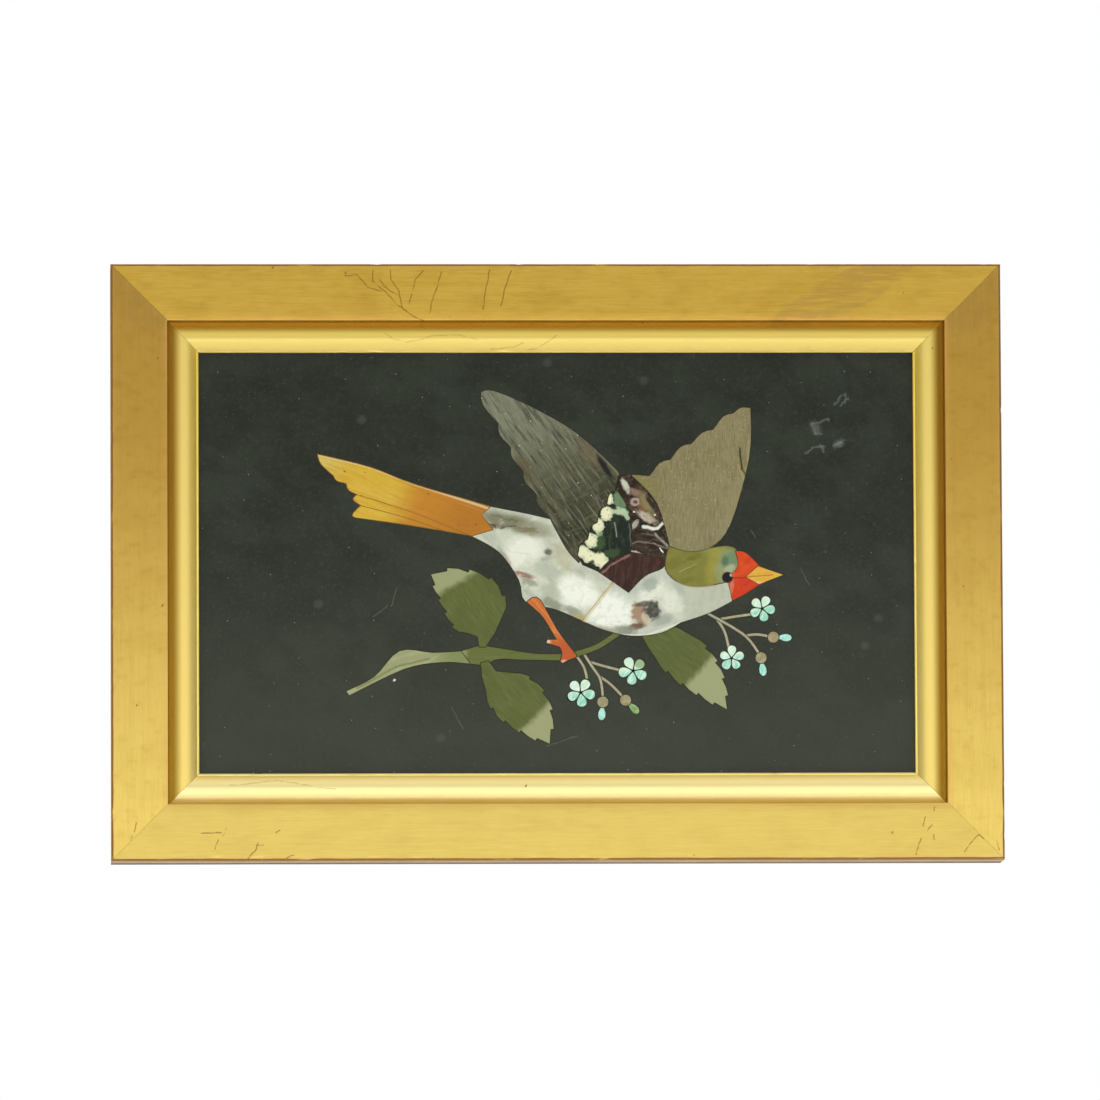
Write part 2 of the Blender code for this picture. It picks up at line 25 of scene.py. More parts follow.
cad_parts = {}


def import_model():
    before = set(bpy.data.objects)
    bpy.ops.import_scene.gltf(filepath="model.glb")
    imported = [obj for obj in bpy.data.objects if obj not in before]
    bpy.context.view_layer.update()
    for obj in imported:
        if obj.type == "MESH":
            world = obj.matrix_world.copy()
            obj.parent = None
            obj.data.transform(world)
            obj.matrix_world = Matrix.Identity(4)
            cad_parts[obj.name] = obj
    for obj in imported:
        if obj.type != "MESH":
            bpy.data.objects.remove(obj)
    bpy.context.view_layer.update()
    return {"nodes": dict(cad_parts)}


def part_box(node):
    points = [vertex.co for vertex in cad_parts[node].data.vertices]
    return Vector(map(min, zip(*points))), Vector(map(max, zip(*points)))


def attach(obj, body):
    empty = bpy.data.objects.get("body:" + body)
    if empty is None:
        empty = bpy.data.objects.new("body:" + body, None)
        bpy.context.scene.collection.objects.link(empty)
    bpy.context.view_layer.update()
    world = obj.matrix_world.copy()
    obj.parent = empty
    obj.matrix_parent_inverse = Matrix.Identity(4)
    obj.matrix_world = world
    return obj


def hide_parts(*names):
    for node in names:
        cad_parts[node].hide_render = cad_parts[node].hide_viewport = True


Colour = tuple[int, int, int]
Place = tuple[float, float]
Outline = list[tuple[float, float]]
Feed = Union[bpy.types.NodeSocket, float, tuple]     # another node's output, or a value
Sockets = bpy.types.bpy_prop_collection              # a node's outputs, by name

LOG = logging.getLogger("panel")
ROOT = "root"
MM = 1000.0              # millimetres in a metre
LIGHT_LEVEL = 0.97       # how bright a white stone shows in the scene's light
GLOSS = 0.3              # how strongly polished stone mirrors
SHEEN = 0.018            # what the polish adds to a stone's own colour there
DARKEST = 0.0015         # least value of a channel
SEED_SHIFT = (31.7, 17.3)     # how far one seed moves a pattern
MERGE_DISTANCE = 0.000001     # metres, between points that are one
SHARP_ANGLE = 35         # degrees, above which an edge stays crisp


class Socket(Enum):
    """Kinds of socket on a node group."""

    NUMBER = "NodeSocketFloat"
    COUNT = "NodeSocketInt"
    VECTOR = "NodeSocketVector"
    MATERIAL = "NodeSocketMaterial"
    GEOMETRY = "NodeSocketGeometry"


class Side(Enum):
    """The four sides of the frame, with the turn from the top rail in quarter turns."""

    TOP = 0
    LEFT = 1
    BOTTOM = 2
    RIGHT = 3

    @property
    def upright(self) -> bool:
        """Whether the rail on this side stands upright."""
        return self in (Side.LEFT, Side.RIGHT)


def linear(channel: float) -> float:
    """The linear value of an sRGB channel from 0 to 255."""
    share = channel / 255
    return share / 12.92 if share <= 0.04045 else ((share + 0.055) / 1.055) ** 2.4


def paint(colour: Colour, sheen: float = SHEEN) -> tuple[float, float, float, float]:
    """The shader colour of a surface that shows as a given colour.

    Args:
        colour: the colour as it looks, in sRGB from 0 to 255.
        sheen: how much light the polish adds.

    Returns:
        Red, green, blue and alpha, linear.
    """
    shares = ((linear(channel) - sheen) / LIGHT_LEVEL for channel in colour)
    red, green, blue = (min(max(share, DARKEST), 1) for share in shares)
    return red, green, blue, 1


def metal(colour: Colour) -> tuple[float, float, float, float]:
    """The shader colour of a metal, from sRGB."""
    red, green, blue = (linear(channel) for channel in colour)
    return red, green, blue, 1


# Node trees

class NodeSheet:
    """Adds nodes to one tree and wires them."""

    def __init__(self, tree: bpy.types.NodeTree) -> None:
        """Take the tree to work in."""
        self.tree = tree

    def add(self, kind: str, inputs: dict | None = None, **settings) -> bpy.types.Node:
        """Add a node.

        Args:
            kind: the node's type name.
            inputs: a value or another node's output for each input, by name or number.
            settings: the node's own properties.

        Returns:
            The new node.
        """
        node = self.tree.nodes.new(kind)
        for name, value in settings.items():
            setattr(node, name, value)
        for key, value in (inputs or {}).items():
            self.feed(node.inputs[key], value)
        return node

    def feed(self, socket: bpy.types.NodeSocket, value: Feed) -> None:
        """Wire a socket to another node's output, or set its value.

        Args:
            socket: the input that is fed.
            value: the output that feeds it, or a value.
        """
        if isinstance(value, bpy.types.NodeSocket):
            self.tree.links.new(value, socket)
        else:
            socket.default_value = value

    def combine(self, **parts: Feed) -> bpy.types.NodeSocket:
        """A vector from its X, Y and Z; what isn't given is 0."""
        return self.add("ShaderNodeCombineXYZ", parts).outputs[0]

    def math(self, operation: str, *values: Feed, clamp: bool = False) -> bpy.types.NodeSocket:
        """The result of a Math node on numbers or sockets."""
        inputs = dict(enumerate(values))
        return self.add("ShaderNodeMath", inputs, operation=operation, use_clamp=clamp).outputs[0]

    def vector(self, operation: str, *values: Feed) -> bpy.types.NodeSocket:
        """The result of a Vector Math node; a number for a length, a distance or a dot product."""
        node = self.add("ShaderNodeVectorMath", dict(enumerate(values)), operation=operation)
        measures = operation in ("LENGTH", "DISTANCE", "DOT_PRODUCT")
        return node.outputs["Value" if measures else "Vector"]

    def step(self, value: Feed, low: Feed, high: Feed) -> bpy.types.NodeSocket:
        """A smooth step from 0 where the value is low to 1 where it is high."""
        inputs = {"Value": value, "From Min": low, "From Max": high}
        return self.add("ShaderNodeMapRange", inputs, interpolation_type="SMOOTHSTEP").outputs[0]

    def scaled(self, value: Feed, low: float, high: float) -> bpy.types.NodeSocket:
        """A value from 0 to 1 spread between two limits."""
        return self.add("ShaderNodeMapRange", {"Value": value, "To Min": low, "To Max": high}).outputs[0]

    def blend(self, amount: Feed, under: Feed, over: Feed) -> bpy.types.NodeSocket:
        """One colour laid over another by an amount."""
        inputs = {"Factor": amount, "A": under, "B": over}
        node = self.add("ShaderNodeMix", data_type="RGBA")
        for name, value in inputs.items():
            socket = next(item for item in node.inputs
                          if item.name == name and item.enabled)
            self.feed(socket, value)
        return next(item for item in node.outputs if item.enabled)

    def shade(self, amount: Feed, colour: Feed, tint: Feed) -> bpy.types.NodeSocket:
        """A colour multiplied by a tint, by an amount."""
        socket = self.blend(amount, colour, tint)
        socket.node.blend_type = "MULTIPLY"
        return socket

    def noise(self, place: Feed, scale: float, detail: float = 3.0) -> bpy.types.Node:
        """A noise texture over a place."""
        return self.add("ShaderNodeTexNoise", {"Vector": place, "Scale": scale, "Detail": detail})

    def use(self, group: bpy.types.NodeTree, inputs: dict) -> bpy.types.Node:
        """Place a node group, with its inputs by name."""
        node = self.add("ShaderNodeGroup")
        node.node_tree = group
        for name, value in inputs.items():
            self.feed(node.inputs[name], value)
        return node


def new_material(name: str) -> tuple[bpy.types.Material, NodeSheet, bpy.types.Node]:
    """Start a material.

    Args:
        name: what the material is called.

    Returns:
        The material, a sheet on its tree, and its shader.
    """
    material = bpy.data.materials.new(name)
    material.use_nodes = True
    return material, NodeSheet(material.node_tree), material.node_tree.nodes["Principled BSDF"]


def new_object(name: str, data: bpy.types.ID) -> bpy.types.Object:
    """Put a new object in the scene.

    Args:
        name: what the object is called.
        data: its mesh, light or camera.

    Returns:
        The object.
    """
    made = bpy.data.objects.new(name, data)
    bpy.context.scene.collection.objects.link(made)
    return made


def new_group(name: str, kind: str, inputs: dict, outputs: dict) -> tuple[NodeSheet, dict, bpy.types.Node]:
    """Start a node group with named sockets.

    Args:
        name: the group's name.
        kind: ShaderNodeTree or GeometryNodeTree.
        inputs: for each input, its Socket kind and its default value (None for no default).
        outputs: for each output, its Socket kind.

    Returns:
        A sheet on the group's tree, its inputs' sockets by name, and its output node.
    """
    tree = bpy.data.node_groups.new(name, kind)
    for label, (socket, value) in inputs.items():
        made = tree.interface.new_socket(label, in_out="INPUT", socket_type=socket.value)
        if value is not None:
            made.default_value = value
    for label, socket in outputs.items():
        tree.interface.new_socket(label, in_out="OUTPUT", socket_type=socket.value)
    entry = tree.nodes.new("NodeGroupInput")
    given = {socket.name: socket for socket in entry.outputs if socket.name}
    return NodeSheet(tree), given, tree.nodes.new("NodeGroupOutput")


@dataclass(frozen=True)
class PanelPlan:
    """The panel's main lines, read from the frame, in metres."""

    sight_width: float
    sight_height: float
    middle: float         # height of the picture's middle
    slab_face: float      # depths out from the wall
    slab_back: float

    @classmethod
    def from_frame(cls) -> PanelPlan:
        """Measure the CAD solids."""
        slab_low, slab_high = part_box("ground_slab")
        middle = (slab_low.z + slab_high.z) / 2
        return cls(sight_width=-2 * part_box("slip_rail_left")[1].x,
                   sight_height=2 * (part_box("slip_rail_top")[0].z - middle),
                   middle=middle,
                   slab_face=-slab_low.y,
                   slab_back=-slab_high.y)

    def to_world(self, side: Side = Side.TOP) -> Matrix:
        """The matrix from a rail's run, distance out and depth to the row frame."""
        distance = (self.sight_width if side.upright else self.sight_height) / 2
        return (Matrix.Translation((0, 0, self.middle))
                @ Matrix.Rotation(math.pi / 2, 4, "X")
                @ Matrix.Rotation(side.value * math.pi / 2, 4, "Z")
                @ Matrix.Translation((0, distance, 0)))


# Masks that the finishes share

class MaskKit:
    """The shader groups that every finish draws its pattern with."""

    def __init__(self, plan: PanelPlan) -> None:
        """Build each group once."""
        self.picture = self.build_picture(plan)
        self.rails = self.build_rails(plan)
        self.streaks = self.build_streaks()
        self.patch = self.build_patch()
        self.stray = self.build_stray()
        self.line = self.build_line()
        self.flecks = self.build_flecks()
        self.veins = self.build_veins()
        self.beyond = self.build_beyond()

    @staticmethod
    def build_picture(plan: PanelPlan) -> bpy.types.NodeTree:
        """The place in the picture's plane, in millimetres, with the depth as its third number."""
        sheet, _, result = new_group("picture_plane", "ShaderNodeTree", {}, {"Place": Socket.VECTOR})
        place = sheet.add("ShaderNodeTexCoord").outputs["Object"]
        turned = sheet.add("ShaderNodeMapping", {"Vector": place, "Rotation": (-math.pi / 2, 0, 0),
                                                 "Scale": (MM, MM, MM),
                                                 "Location": (0, -plan.middle * MM, 0)})
        sheet.tree.links.new(turned.outputs[0], result.inputs["Place"])
        return sheet.tree

    @staticmethod
    def build_rails(plan: PanelPlan) -> bpy.types.NodeTree:
        """The place along and across a rail, and whether the rail stands upright."""
        sheet, given, result = new_group(
            "rail_run", "ShaderNodeTree", {"Place": (Socket.VECTOR, None)},
            {"Run": Socket.VECTOR, "Out": Socket.NUMBER, "Upright": Socket.NUMBER})
        parts = sheet.add("ShaderNodeSeparateXYZ", {0: given["Place"]}).outputs
        beside = sheet.math("SUBTRACT", sheet.math("ABSOLUTE", parts["X"]), plan.sight_width * MM / 2)
        above = sheet.math("SUBTRACT", sheet.math("ABSOLUTE", parts["Y"]), plan.sight_height * MM / 2)
        upright = sheet.math("GREATER_THAN", beside, above)
        out = sheet.math("MAXIMUM", beside, above)
        along = sheet.math("ADD", sheet.math("MULTIPLY", parts["Y"], upright),
                           sheet.math("MULTIPLY", parts["X"], sheet.math("SUBTRACT", 1, upright)))
        run = sheet.combine(X=along, Y=out, Z=parts["Z"])
        sheet.tree.links.new(run, result.inputs["Run"])
        sheet.tree.links.new(out, result.inputs["Out"])
        sheet.tree.links.new(upright, result.inputs["Upright"])
        return sheet.tree

    @staticmethod
    def turned(sheet: NodeSheet, place: Feed, turn: Feed) -> bpy.types.NodeSocket:
        """The place seen along axes that are turned by an angle in the picture's plane."""
        back = sheet.math("MULTIPLY", turn, -1)
        node = sheet.add("ShaderNodeVectorRotate", {"Vector": place, "Angle": back},
                         rotation_type="Z_AXIS")
        return node.outputs[0]

    @staticmethod
    def shifted(sheet: NodeSheet, place: Feed, seed: Feed) -> bpy.types.NodeSocket:
        """The place moved far off by a seed, so that two patterns don't match."""
        along, across = (sheet.math("MULTIPLY", seed, shift) for shift in SEED_SHIFT)
        return sheet.vector("ADD", place, sheet.combine(X=along, Y=across, Z=seed))

    @classmethod
    def ragged(cls, sheet: NodeSheet, given: dict) -> bpy.types.NodeSocket:
        """Noise around 0 that makes an edge ragged, as large as the group's Ragged input."""
        spread = sheet.vector("SCALE", cls.shifted(sheet, given["Place"], given["Seed"]))
        scale = spread.node.inputs["Scale"]
        sheet.tree.links.new(sheet.math("DIVIDE", 1, given["Ragged Size"]), scale)
        noise = sheet.noise(spread, 1.0).outputs[0]
        return sheet.math("MULTIPLY", sheet.math("SUBTRACT", noise, 0.5), given["Ragged"])

    @classmethod
    def build_streaks(cls) -> bpy.types.NodeTree:
        """Streaks of a length and a width along a turned line; clouds where the two are equal."""
        sheet, given, result = new_group("streaks", "ShaderNodeTree", {
            "Place": (Socket.VECTOR, None), "Turn": (Socket.NUMBER, 0.0),
            "Long": (Socket.NUMBER, 8.0), "Fine": (Socket.NUMBER, 8.0),
            "Low": (Socket.NUMBER, 0.4), "High": (Socket.NUMBER, 0.6), "Seed": (Socket.NUMBER, 0.0),
        }, {"Mask": Socket.NUMBER})
        turned = cls.turned(sheet, given["Place"], given["Turn"])
        size = sheet.combine(X=given["Long"], Y=given["Fine"], Z=given["Fine"])
        place = cls.shifted(sheet, sheet.vector("DIVIDE", turned, size), given["Seed"])
        noise = sheet.noise(place, 1.0, 4.0).outputs[0]
        mask = sheet.step(noise, given["Low"], given["High"])
        sheet.tree.links.new(mask, result.inputs["Mask"])
        return sheet.tree

    @classmethod
    def build_patch(cls) -> bpy.types.NodeTree:
        """A soft or ragged oval spot."""
        sheet, given, result = new_group("patch", "ShaderNodeTree", {
            "Place": (Socket.VECTOR, None), "Centre": (Socket.VECTOR, None),
            "Reach": (Socket.VECTOR, (1.0, 1.0, 1.0)), "Turn": (Socket.NUMBER, 0.0),
            "Soft": (Socket.NUMBER, 0.4), "Ragged": (Socket.NUMBER, 0.3),
            "Ragged Size": (Socket.NUMBER, 2.0), "Seed": (Socket.NUMBER, 0.0),
        }, {"Mask": Socket.NUMBER})
        flat = sheet.vector("MULTIPLY", sheet.vector("SUBTRACT", given["Place"], given["Centre"]),
                            (1, 1, 0))
        oval = sheet.vector("DIVIDE", cls.turned(sheet, flat, given["Turn"]), given["Reach"])
        reach = sheet.math("ADD", sheet.vector("LENGTH", oval), cls.ragged(sheet, given))
        mask = sheet.step(reach, sheet.math("ADD", 1, given["Soft"]),
                          sheet.math("SUBTRACT", 1, given["Soft"]))
        sheet.tree.links.new(mask, result.inputs["Mask"])
        return sheet.tree

    @staticmethod
    def build_stray() -> bpy.types.NodeTree:
        """The place without its depth, and how far lines stray from their course there."""
        sheet, given, result = new_group("stray", "ShaderNodeTree", {"Place": (Socket.VECTOR, None)},
                                         {"Flat": Socket.VECTOR, "Stray": Socket.VECTOR})
        noise = sheet.noise(given["Place"], 0.35).outputs[1]
        stray = sheet.vector("SUBTRACT", noise, (0.5, 0.5, 0.5))
        flat = sheet.vector("MULTIPLY", given["Place"], (1, 1, 0))
        sheet.tree.links.new(stray, result.inputs["Stray"])
        sheet.tree.links.new(flat, result.inputs["Flat"])
        return sheet.tree

    @staticmethod
    def build_line() -> bpy.types.NodeTree:
        """A line from one place over a span; Inverse is 1 over the span's length squared."""
        sheet, given, result = new_group("line", "ShaderNodeTree", {
            "Place": (Socket.VECTOR, None), "Start": (Socket.VECTOR, None),
            "Span": (Socket.VECTOR, None), "Inverse": (Socket.NUMBER, 1.0),
            "Width": (Socket.NUMBER, 0.5)}, {"Mask": Socket.NUMBER})
        offset = sheet.vector("SUBTRACT", given["Place"], given["Start"])
        share = sheet.math("MULTIPLY", sheet.vector("DOT_PRODUCT", offset, given["Span"]),
                           given["Inverse"], clamp=True)
        nearest = sheet.vector("SCALE", given["Span"])
        sheet.tree.links.new(share, nearest.node.inputs["Scale"])
        distance = sheet.vector("DISTANCE", offset, nearest)
        mask = sheet.step(distance, given["Width"], sheet.math("MULTIPLY", given["Width"], 0.2))
        sheet.tree.links.new(mask, result.inputs["Mask"])
        return sheet.tree

    @classmethod
    def build_flecks(cls) -> bpy.types.NodeTree:
        """Scattered specks, drawn out along a turned line where they are stretched."""
        sheet, given, result = new_group("flecks", "ShaderNodeTree", {
            "Place": (Socket.VECTOR, None), "Turn": (Socket.NUMBER, 0.0),
            "Spacing": (Socket.NUMBER, 3.0), "Stretch": (Socket.NUMBER, 1.0),
            "Size": (Socket.NUMBER, 0.1), "Share": (Socket.NUMBER, 0.4),
            "Seed": (Socket.NUMBER, 0.0),
        }, {"Mask": Socket.NUMBER})
        long = sheet.math("MULTIPLY", given["Spacing"], given["Stretch"])
        size = sheet.combine(X=long, Y=given["Spacing"], Z=given["Spacing"])
        turned = cls.turned(sheet, given["Place"], given["Turn"])
        place = cls.shifted(sheet, sheet.vector("DIVIDE", turned, size), given["Seed"])
        cells = sheet.add("ShaderNodeTexVoronoi", {"Vector": place, "Scale": 1.0},
                          voronoi_dimensions="2D")
        luck = sheet.add("ShaderNodeSeparateColor", {0: cells.outputs["Color"]}).outputs
        present = sheet.math("LESS_THAN", luck[0], given["Share"])
        radius = sheet.math("MULTIPLY", given["Size"], sheet.scaled(luck[1], 0.4, 1.0))
        disc = sheet.step(cells.outputs["Distance"], radius, sheet.math("MULTIPLY", radius, 0.4))
        sheet.tree.links.new(sheet.math("MULTIPLY", disc, present), result.inputs["Mask"])
        return sheet.tree

    @classmethod
    def build_veins(cls) -> bpy.types.NodeTree:
        """Thin curling veins."""
        sheet, given, result = new_group("veins", "ShaderNodeTree", {
            "Place": (Socket.VECTOR, None), "Size": (Socket.NUMBER, 5.0),
            "Width": (Socket.NUMBER, 0.04), "Curl": (Socket.NUMBER, 0.6),
            "Seed": (Socket.NUMBER, 0.0),
        }, {"Mask": Socket.NUMBER})
        size = sheet.combine(X=given["Size"], Y=given["Size"], Z=given["Size"])
        place = cls.shifted(sheet, sheet.vector("DIVIDE", given["Place"], size), given["Seed"])
        stray = sheet.vector("SCALE", sheet.vector("SUBTRACT", sheet.noise(place, 1.4).outputs[1],
                                                   (0.5, 0.5, 0.5)))
        sheet.tree.links.new(given["Curl"], stray.node.inputs["Scale"])
        noise = sheet.noise(sheet.vector("ADD", place, stray), 1.0, 2.0).outputs[0]
        ridge = sheet.math("ABSOLUTE", sheet.math("SUBTRACT", noise, 0.5))
        mask = sheet.step(ridge, given["Width"], sheet.math("MULTIPLY", given["Width"], 0.2))
        sheet.tree.links.new(mask, result.inputs["Mask"])
        return sheet.tree

    @classmethod
    def build_beyond(cls) -> bpy.types.NodeTree:
        """Everything beyond a line, in the direction of its turn."""
        sheet, given, result = new_group("beyond", "ShaderNodeTree", {
            "Place": (Socket.VECTOR, None), "Point": (Socket.VECTOR, None),
            "Turn": (Socket.NUMBER, 0.0), "Soft": (Socket.NUMBER, 2.0),
            "Ragged": (Socket.NUMBER, 1.0), "Ragged Size": (Socket.NUMBER, 4.0),
            "Seed": (Socket.NUMBER, 0.0),
        }, {"Mask": Socket.NUMBER})
        turned = cls.turned(sheet, sheet.vector("SUBTRACT", given["Place"], given["Point"]),
                            given["Turn"])
        forward = sheet.add("ShaderNodeSeparateXYZ", {0: turned}).outputs["X"]
        distance = sheet.math("ADD", forward, cls.ragged(sheet, given))
        mask = sheet.step(distance, sheet.math("MULTIPLY", given["Soft"], -1), given["Soft"])
        sheet.tree.links.new(mask, result.inputs["Mask"])
        return sheet.tree


# Layers of a stone's pattern

@dataclass(frozen=True)
class Layer(ABC):
    """One colour of a stone, laid over the colours before it."""

    colour: Colour
    amount: float

    @abstractmethod
    def values(self) -> dict:
        """The inputs of this layer's mask group, apart from Place and Seed."""

    @abstractmethod
    def group(self, kit: MaskKit) -> bpy.types.NodeTree:
        """The mask group that this layer uses."""

    def mask(self, sheet: NodeSheet, kit: MaskKit, place: Feed, stray: Sockets,
             seed: float) -> bpy.types.NodeSocket:
        """How much of the layer shows, over the surface."""
        inputs = {"Place": place, "Seed": seed, **self.values()}
        shape = sheet.use(self.group(kit), inputs).outputs["Mask"]
        return sheet.math("MULTIPLY", shape, self.amount)


@dataclass(frozen=True)
class Streaks(Layer):
    """Streaks or, where long and fine are the same, clouds. Lengths in millimetres."""

    turn: float = 0.0
    long: float = 6.0
    fine: float = 6.0
    low: float = 0.42
    high: float = 0.62

    def values(self) -> dict:
        """The inputs of the streaks group."""
        return {"Turn": math.radians(self.turn), "Long": self.long, "Fine": self.fine,
                "Low": self.low, "High": self.high}

    def group(self, kit: MaskKit) -> bpy.types.NodeTree:
        """The streaks group."""
        return kit.streaks


@dataclass(frozen=True)
class Patch(Layer):
    """An oval spot with a soft, ragged edge."""

    centre: Place = (0.0, 0.0)
    reach: Place = (1.0, 1.0)
    turn: float = 0.0
    soft: float = 0.45
    ragged: float = 0.7

    def values(self) -> dict:
        """The inputs of the patch group."""
        return {"Centre": (*self.centre, 0), "Reach": (*self.reach, 1),
                "Turn": math.radians(self.turn), "Soft": self.soft, "Ragged": self.ragged,
                "Ragged Size": max(self.reach) / 2}

    def group(self, kit: MaskKit) -> bpy.types.NodeTree:
        """The patch group."""
        return kit.patch


def line_values(start: Place, end: Place, width: float) -> dict:
    """The inputs of the line group for a line between two places."""
    span = (end[0] - start[0], end[1] - start[1], 0)
    return {"Start": (*start, 0), "Span": span, "Inverse": 1 / (span[0] ** 2 + span[1] ** 2),
            "Width": width}


@dataclass(frozen=True)
class Line(Layer):
    """A vein, a scratch or a pale rim from one place to another."""

    start: Place = (0.0, 0.0)
    end: Place = (1.0, 1.0)
    width: float = 0.5
    wander: float = 0.0

    def values(self) -> dict:
        """The inputs of the line group."""
        return line_values(self.start, self.end, self.width)

    def mask(self, sheet: NodeSheet, kit: MaskKit, place: Feed, stray: Sockets,
             seed: float) -> bpy.types.NodeSocket:
        """How much of the line shows, over the surface."""
        course = sheet.vector("MULTIPLY_ADD", stray["Stray"], (self.wander, self.wander, 0),
                              stray["Flat"])
        shape = sheet.use(kit.line, {"Place": course, **self.values()}).outputs["Mask"]
        return sheet.math("MULTIPLY", shape, self.amount)

    def group(self, kit: MaskKit) -> bpy.types.NodeTree:
        """The line group."""
        return kit.line


@dataclass(frozen=True)
class Flecks(Layer):
    """Scattered specks. The size is a share of the spacing."""

    spacing: float = 3.0
    size: float = 0.12
    share: float = 0.4
    turn: float = 0.0
    stretch: float = 1.0

    def values(self) -> dict:
        """The inputs of the flecks group."""
        return {"Turn": math.radians(self.turn), "Spacing": self.spacing,
                "Stretch": self.stretch, "Size": self.size, "Share": self.share}

    def group(self, kit: MaskKit) -> bpy.types.NodeTree:
        """The flecks group."""
        return kit.flecks


@dataclass(frozen=True)
class Veins(Layer):
    """Thin curling veins."""

    size: float = 5.0
    width: float = 0.04
    curl: float = 0.8

    def values(self) -> dict:
        """The inputs of the veins group."""
        return {"Size": self.size, "Width": self.width, "Curl": self.curl}

    def group(self, kit: MaskKit) -> bpy.types.NodeTree:
        """The veins group."""
        return kit.veins


@dataclass(frozen=True)
class Beyond(Layer):
    """The colour that a stone turns to beyond a line."""

    point: Place = (0.0, 0.0)
    turn: float = 0.0
    soft: float = 2.0
    ragged: float = 2.0

    def values(self) -> dict:
        """The inputs of the beyond group."""
        return {"Point": (*self.point, 0), "Turn": math.radians(self.turn), "Soft": self.soft,
                "Ragged": self.ragged, "Ragged Size": 3.0}

    def group(self, kit: MaskKit) -> bpy.types.NodeTree:
        """The beyond group."""
        return kit.beyond


@dataclass(frozen=True)
class StoneFinish:
    """A polished stone: a ground colour with layers over it, and a sawn back."""

    name: str
    ground: Colour
    layers: tuple[Layer, ...] = ()
    roughness: float = 0.3
    sawn: Colour = (120, 118, 108)

    def material(self, kit: MaskKit, plan: PanelPlan) -> bpy.types.Material:
        """Build the stone's material.

        Args:
            kit: the shared mask groups.
            plan: the panel's main lines, which tell the polished face from the sawn back.

        Returns:
            The finished material.
        """
        material, sheet, shader = new_material(self.name)
        place = sheet.use(kit.picture, {}).outputs["Place"]
        stray = sheet.use(kit.stray, {"Place": place}).outputs
        colour = paint(self.ground)
        for number, layer in enumerate(self.layers):
            mask = layer.mask(sheet, kit, place, stray, number + len(self.name) / 10)
            colour = sheet.blend(mask, colour, paint(layer.colour))

        polish = sheet.use(kit.streaks, {"Place": place, "Long": 2.5, "Fine": 2.5, "Low": 0.3,
                                         "High": 0.7, "Seed": 3.0}).outputs["Mask"]
        depth = sheet.add("ShaderNodeSeparateXYZ", {0: place}).outputs["Z"]
        polished = sheet.step(depth, plan.slab_face * MM - 0.4, plan.slab_face * MM - 0.2)
        sawn_grain = sheet.use(kit.streaks, {"Place": place, "Turn": 0.3, "Long": 30.0, "Fine": 0.8,
                                             "Low": 0.3, "High": 0.7}).outputs["Mask"]
        sawn = sheet.blend(sawn_grain, paint(self.sawn), paint(tuple(part * 3 // 4 for part in self.sawn)))
        tree = material.node_tree
        tree.links.new(sheet.blend(polished, sawn, colour), shader.inputs["Base Color"])
        shader.inputs["Specular IOR Level"].default_value = GLOSS
        smooth = sheet.scaled(polish, self.roughness - 0.04, self.roughness + 0.06)
        rough = sheet.add("ShaderNodeMapRange", {"Value": polished, "To Min": 0.8, "To Max": smooth})
        tree.links.new(rough.outputs[0], shader.inputs["Roughness"])
        height = sheet.blend(polished, sawn_grain, sheet.math("MULTIPLY", polish, 0.15))
        bump = sheet.add("ShaderNodeBump", {"Height": height, "Strength": 0.5, "Distance": 0.0001})
        tree.links.new(bump.outputs[0], shader.inputs["Normal"])
        return material


WHITE = (234, 237, 217)
PETAL_LIGHT = (208, 236, 208)
PETAL_DEEP = (146, 214, 184)
LEAF = (93, 101, 54)
PALE_LEAF = (160, 163, 119)

TAIL_TURN = -21.4        # degrees, from the tip of the tail to its root
WING_LEFT_TURN = -57.0   # from the tip of the left wing to the shoulder
WING_RIGHT_TURN = 84.0   # fibres of the right wing


def tail_stone() -> StoneFinish:
    """Yellow at the feathers' tips and orange at their roots, with a pale upper rim."""
    rim = ((-86.5, 39.6), (-67.3, 34.9), (-50.6, 28.5), (-24.0, 19.6))
    return StoneFinish("tail_stone", (210, 174, 62), (
        Streaks((220, 186, 80), 0.5, TAIL_TURN, 16, 2.2),
        Beyond((208, 190, 104), 0.8, (-78, 37), 180 + TAIL_TURN, 5, 3),
        Streaks((190, 146, 45), 0.5, TAIL_TURN, 12, 0.8, 0.5, 0.66),
        Beyond((190, 128, 45), 0.95, (-53.0, 26.0), -26, 6.5, 6.0),
        Beyond((170, 110, 42), 0.7, (-38, 22), TAIL_TURN, 9, 4),
        Streaks((206, 142, 66), 0.35, TAIL_TURN, 14, 0.7, 0.5, 0.7),
        Streaks((160, 98, 30), 0.35, TAIL_TURN, 22, 0.5, 0.58, 0.7),
        Flecks((104, 76, 24), 0.8, 5.2, 0.08, 0.45, TAIL_TURN, 1.4),
        *(Line((232, 206, 150), 0.7, start, end, 0.75) for start, end in zip(rim, rim[1:])),
    ), 0.28)


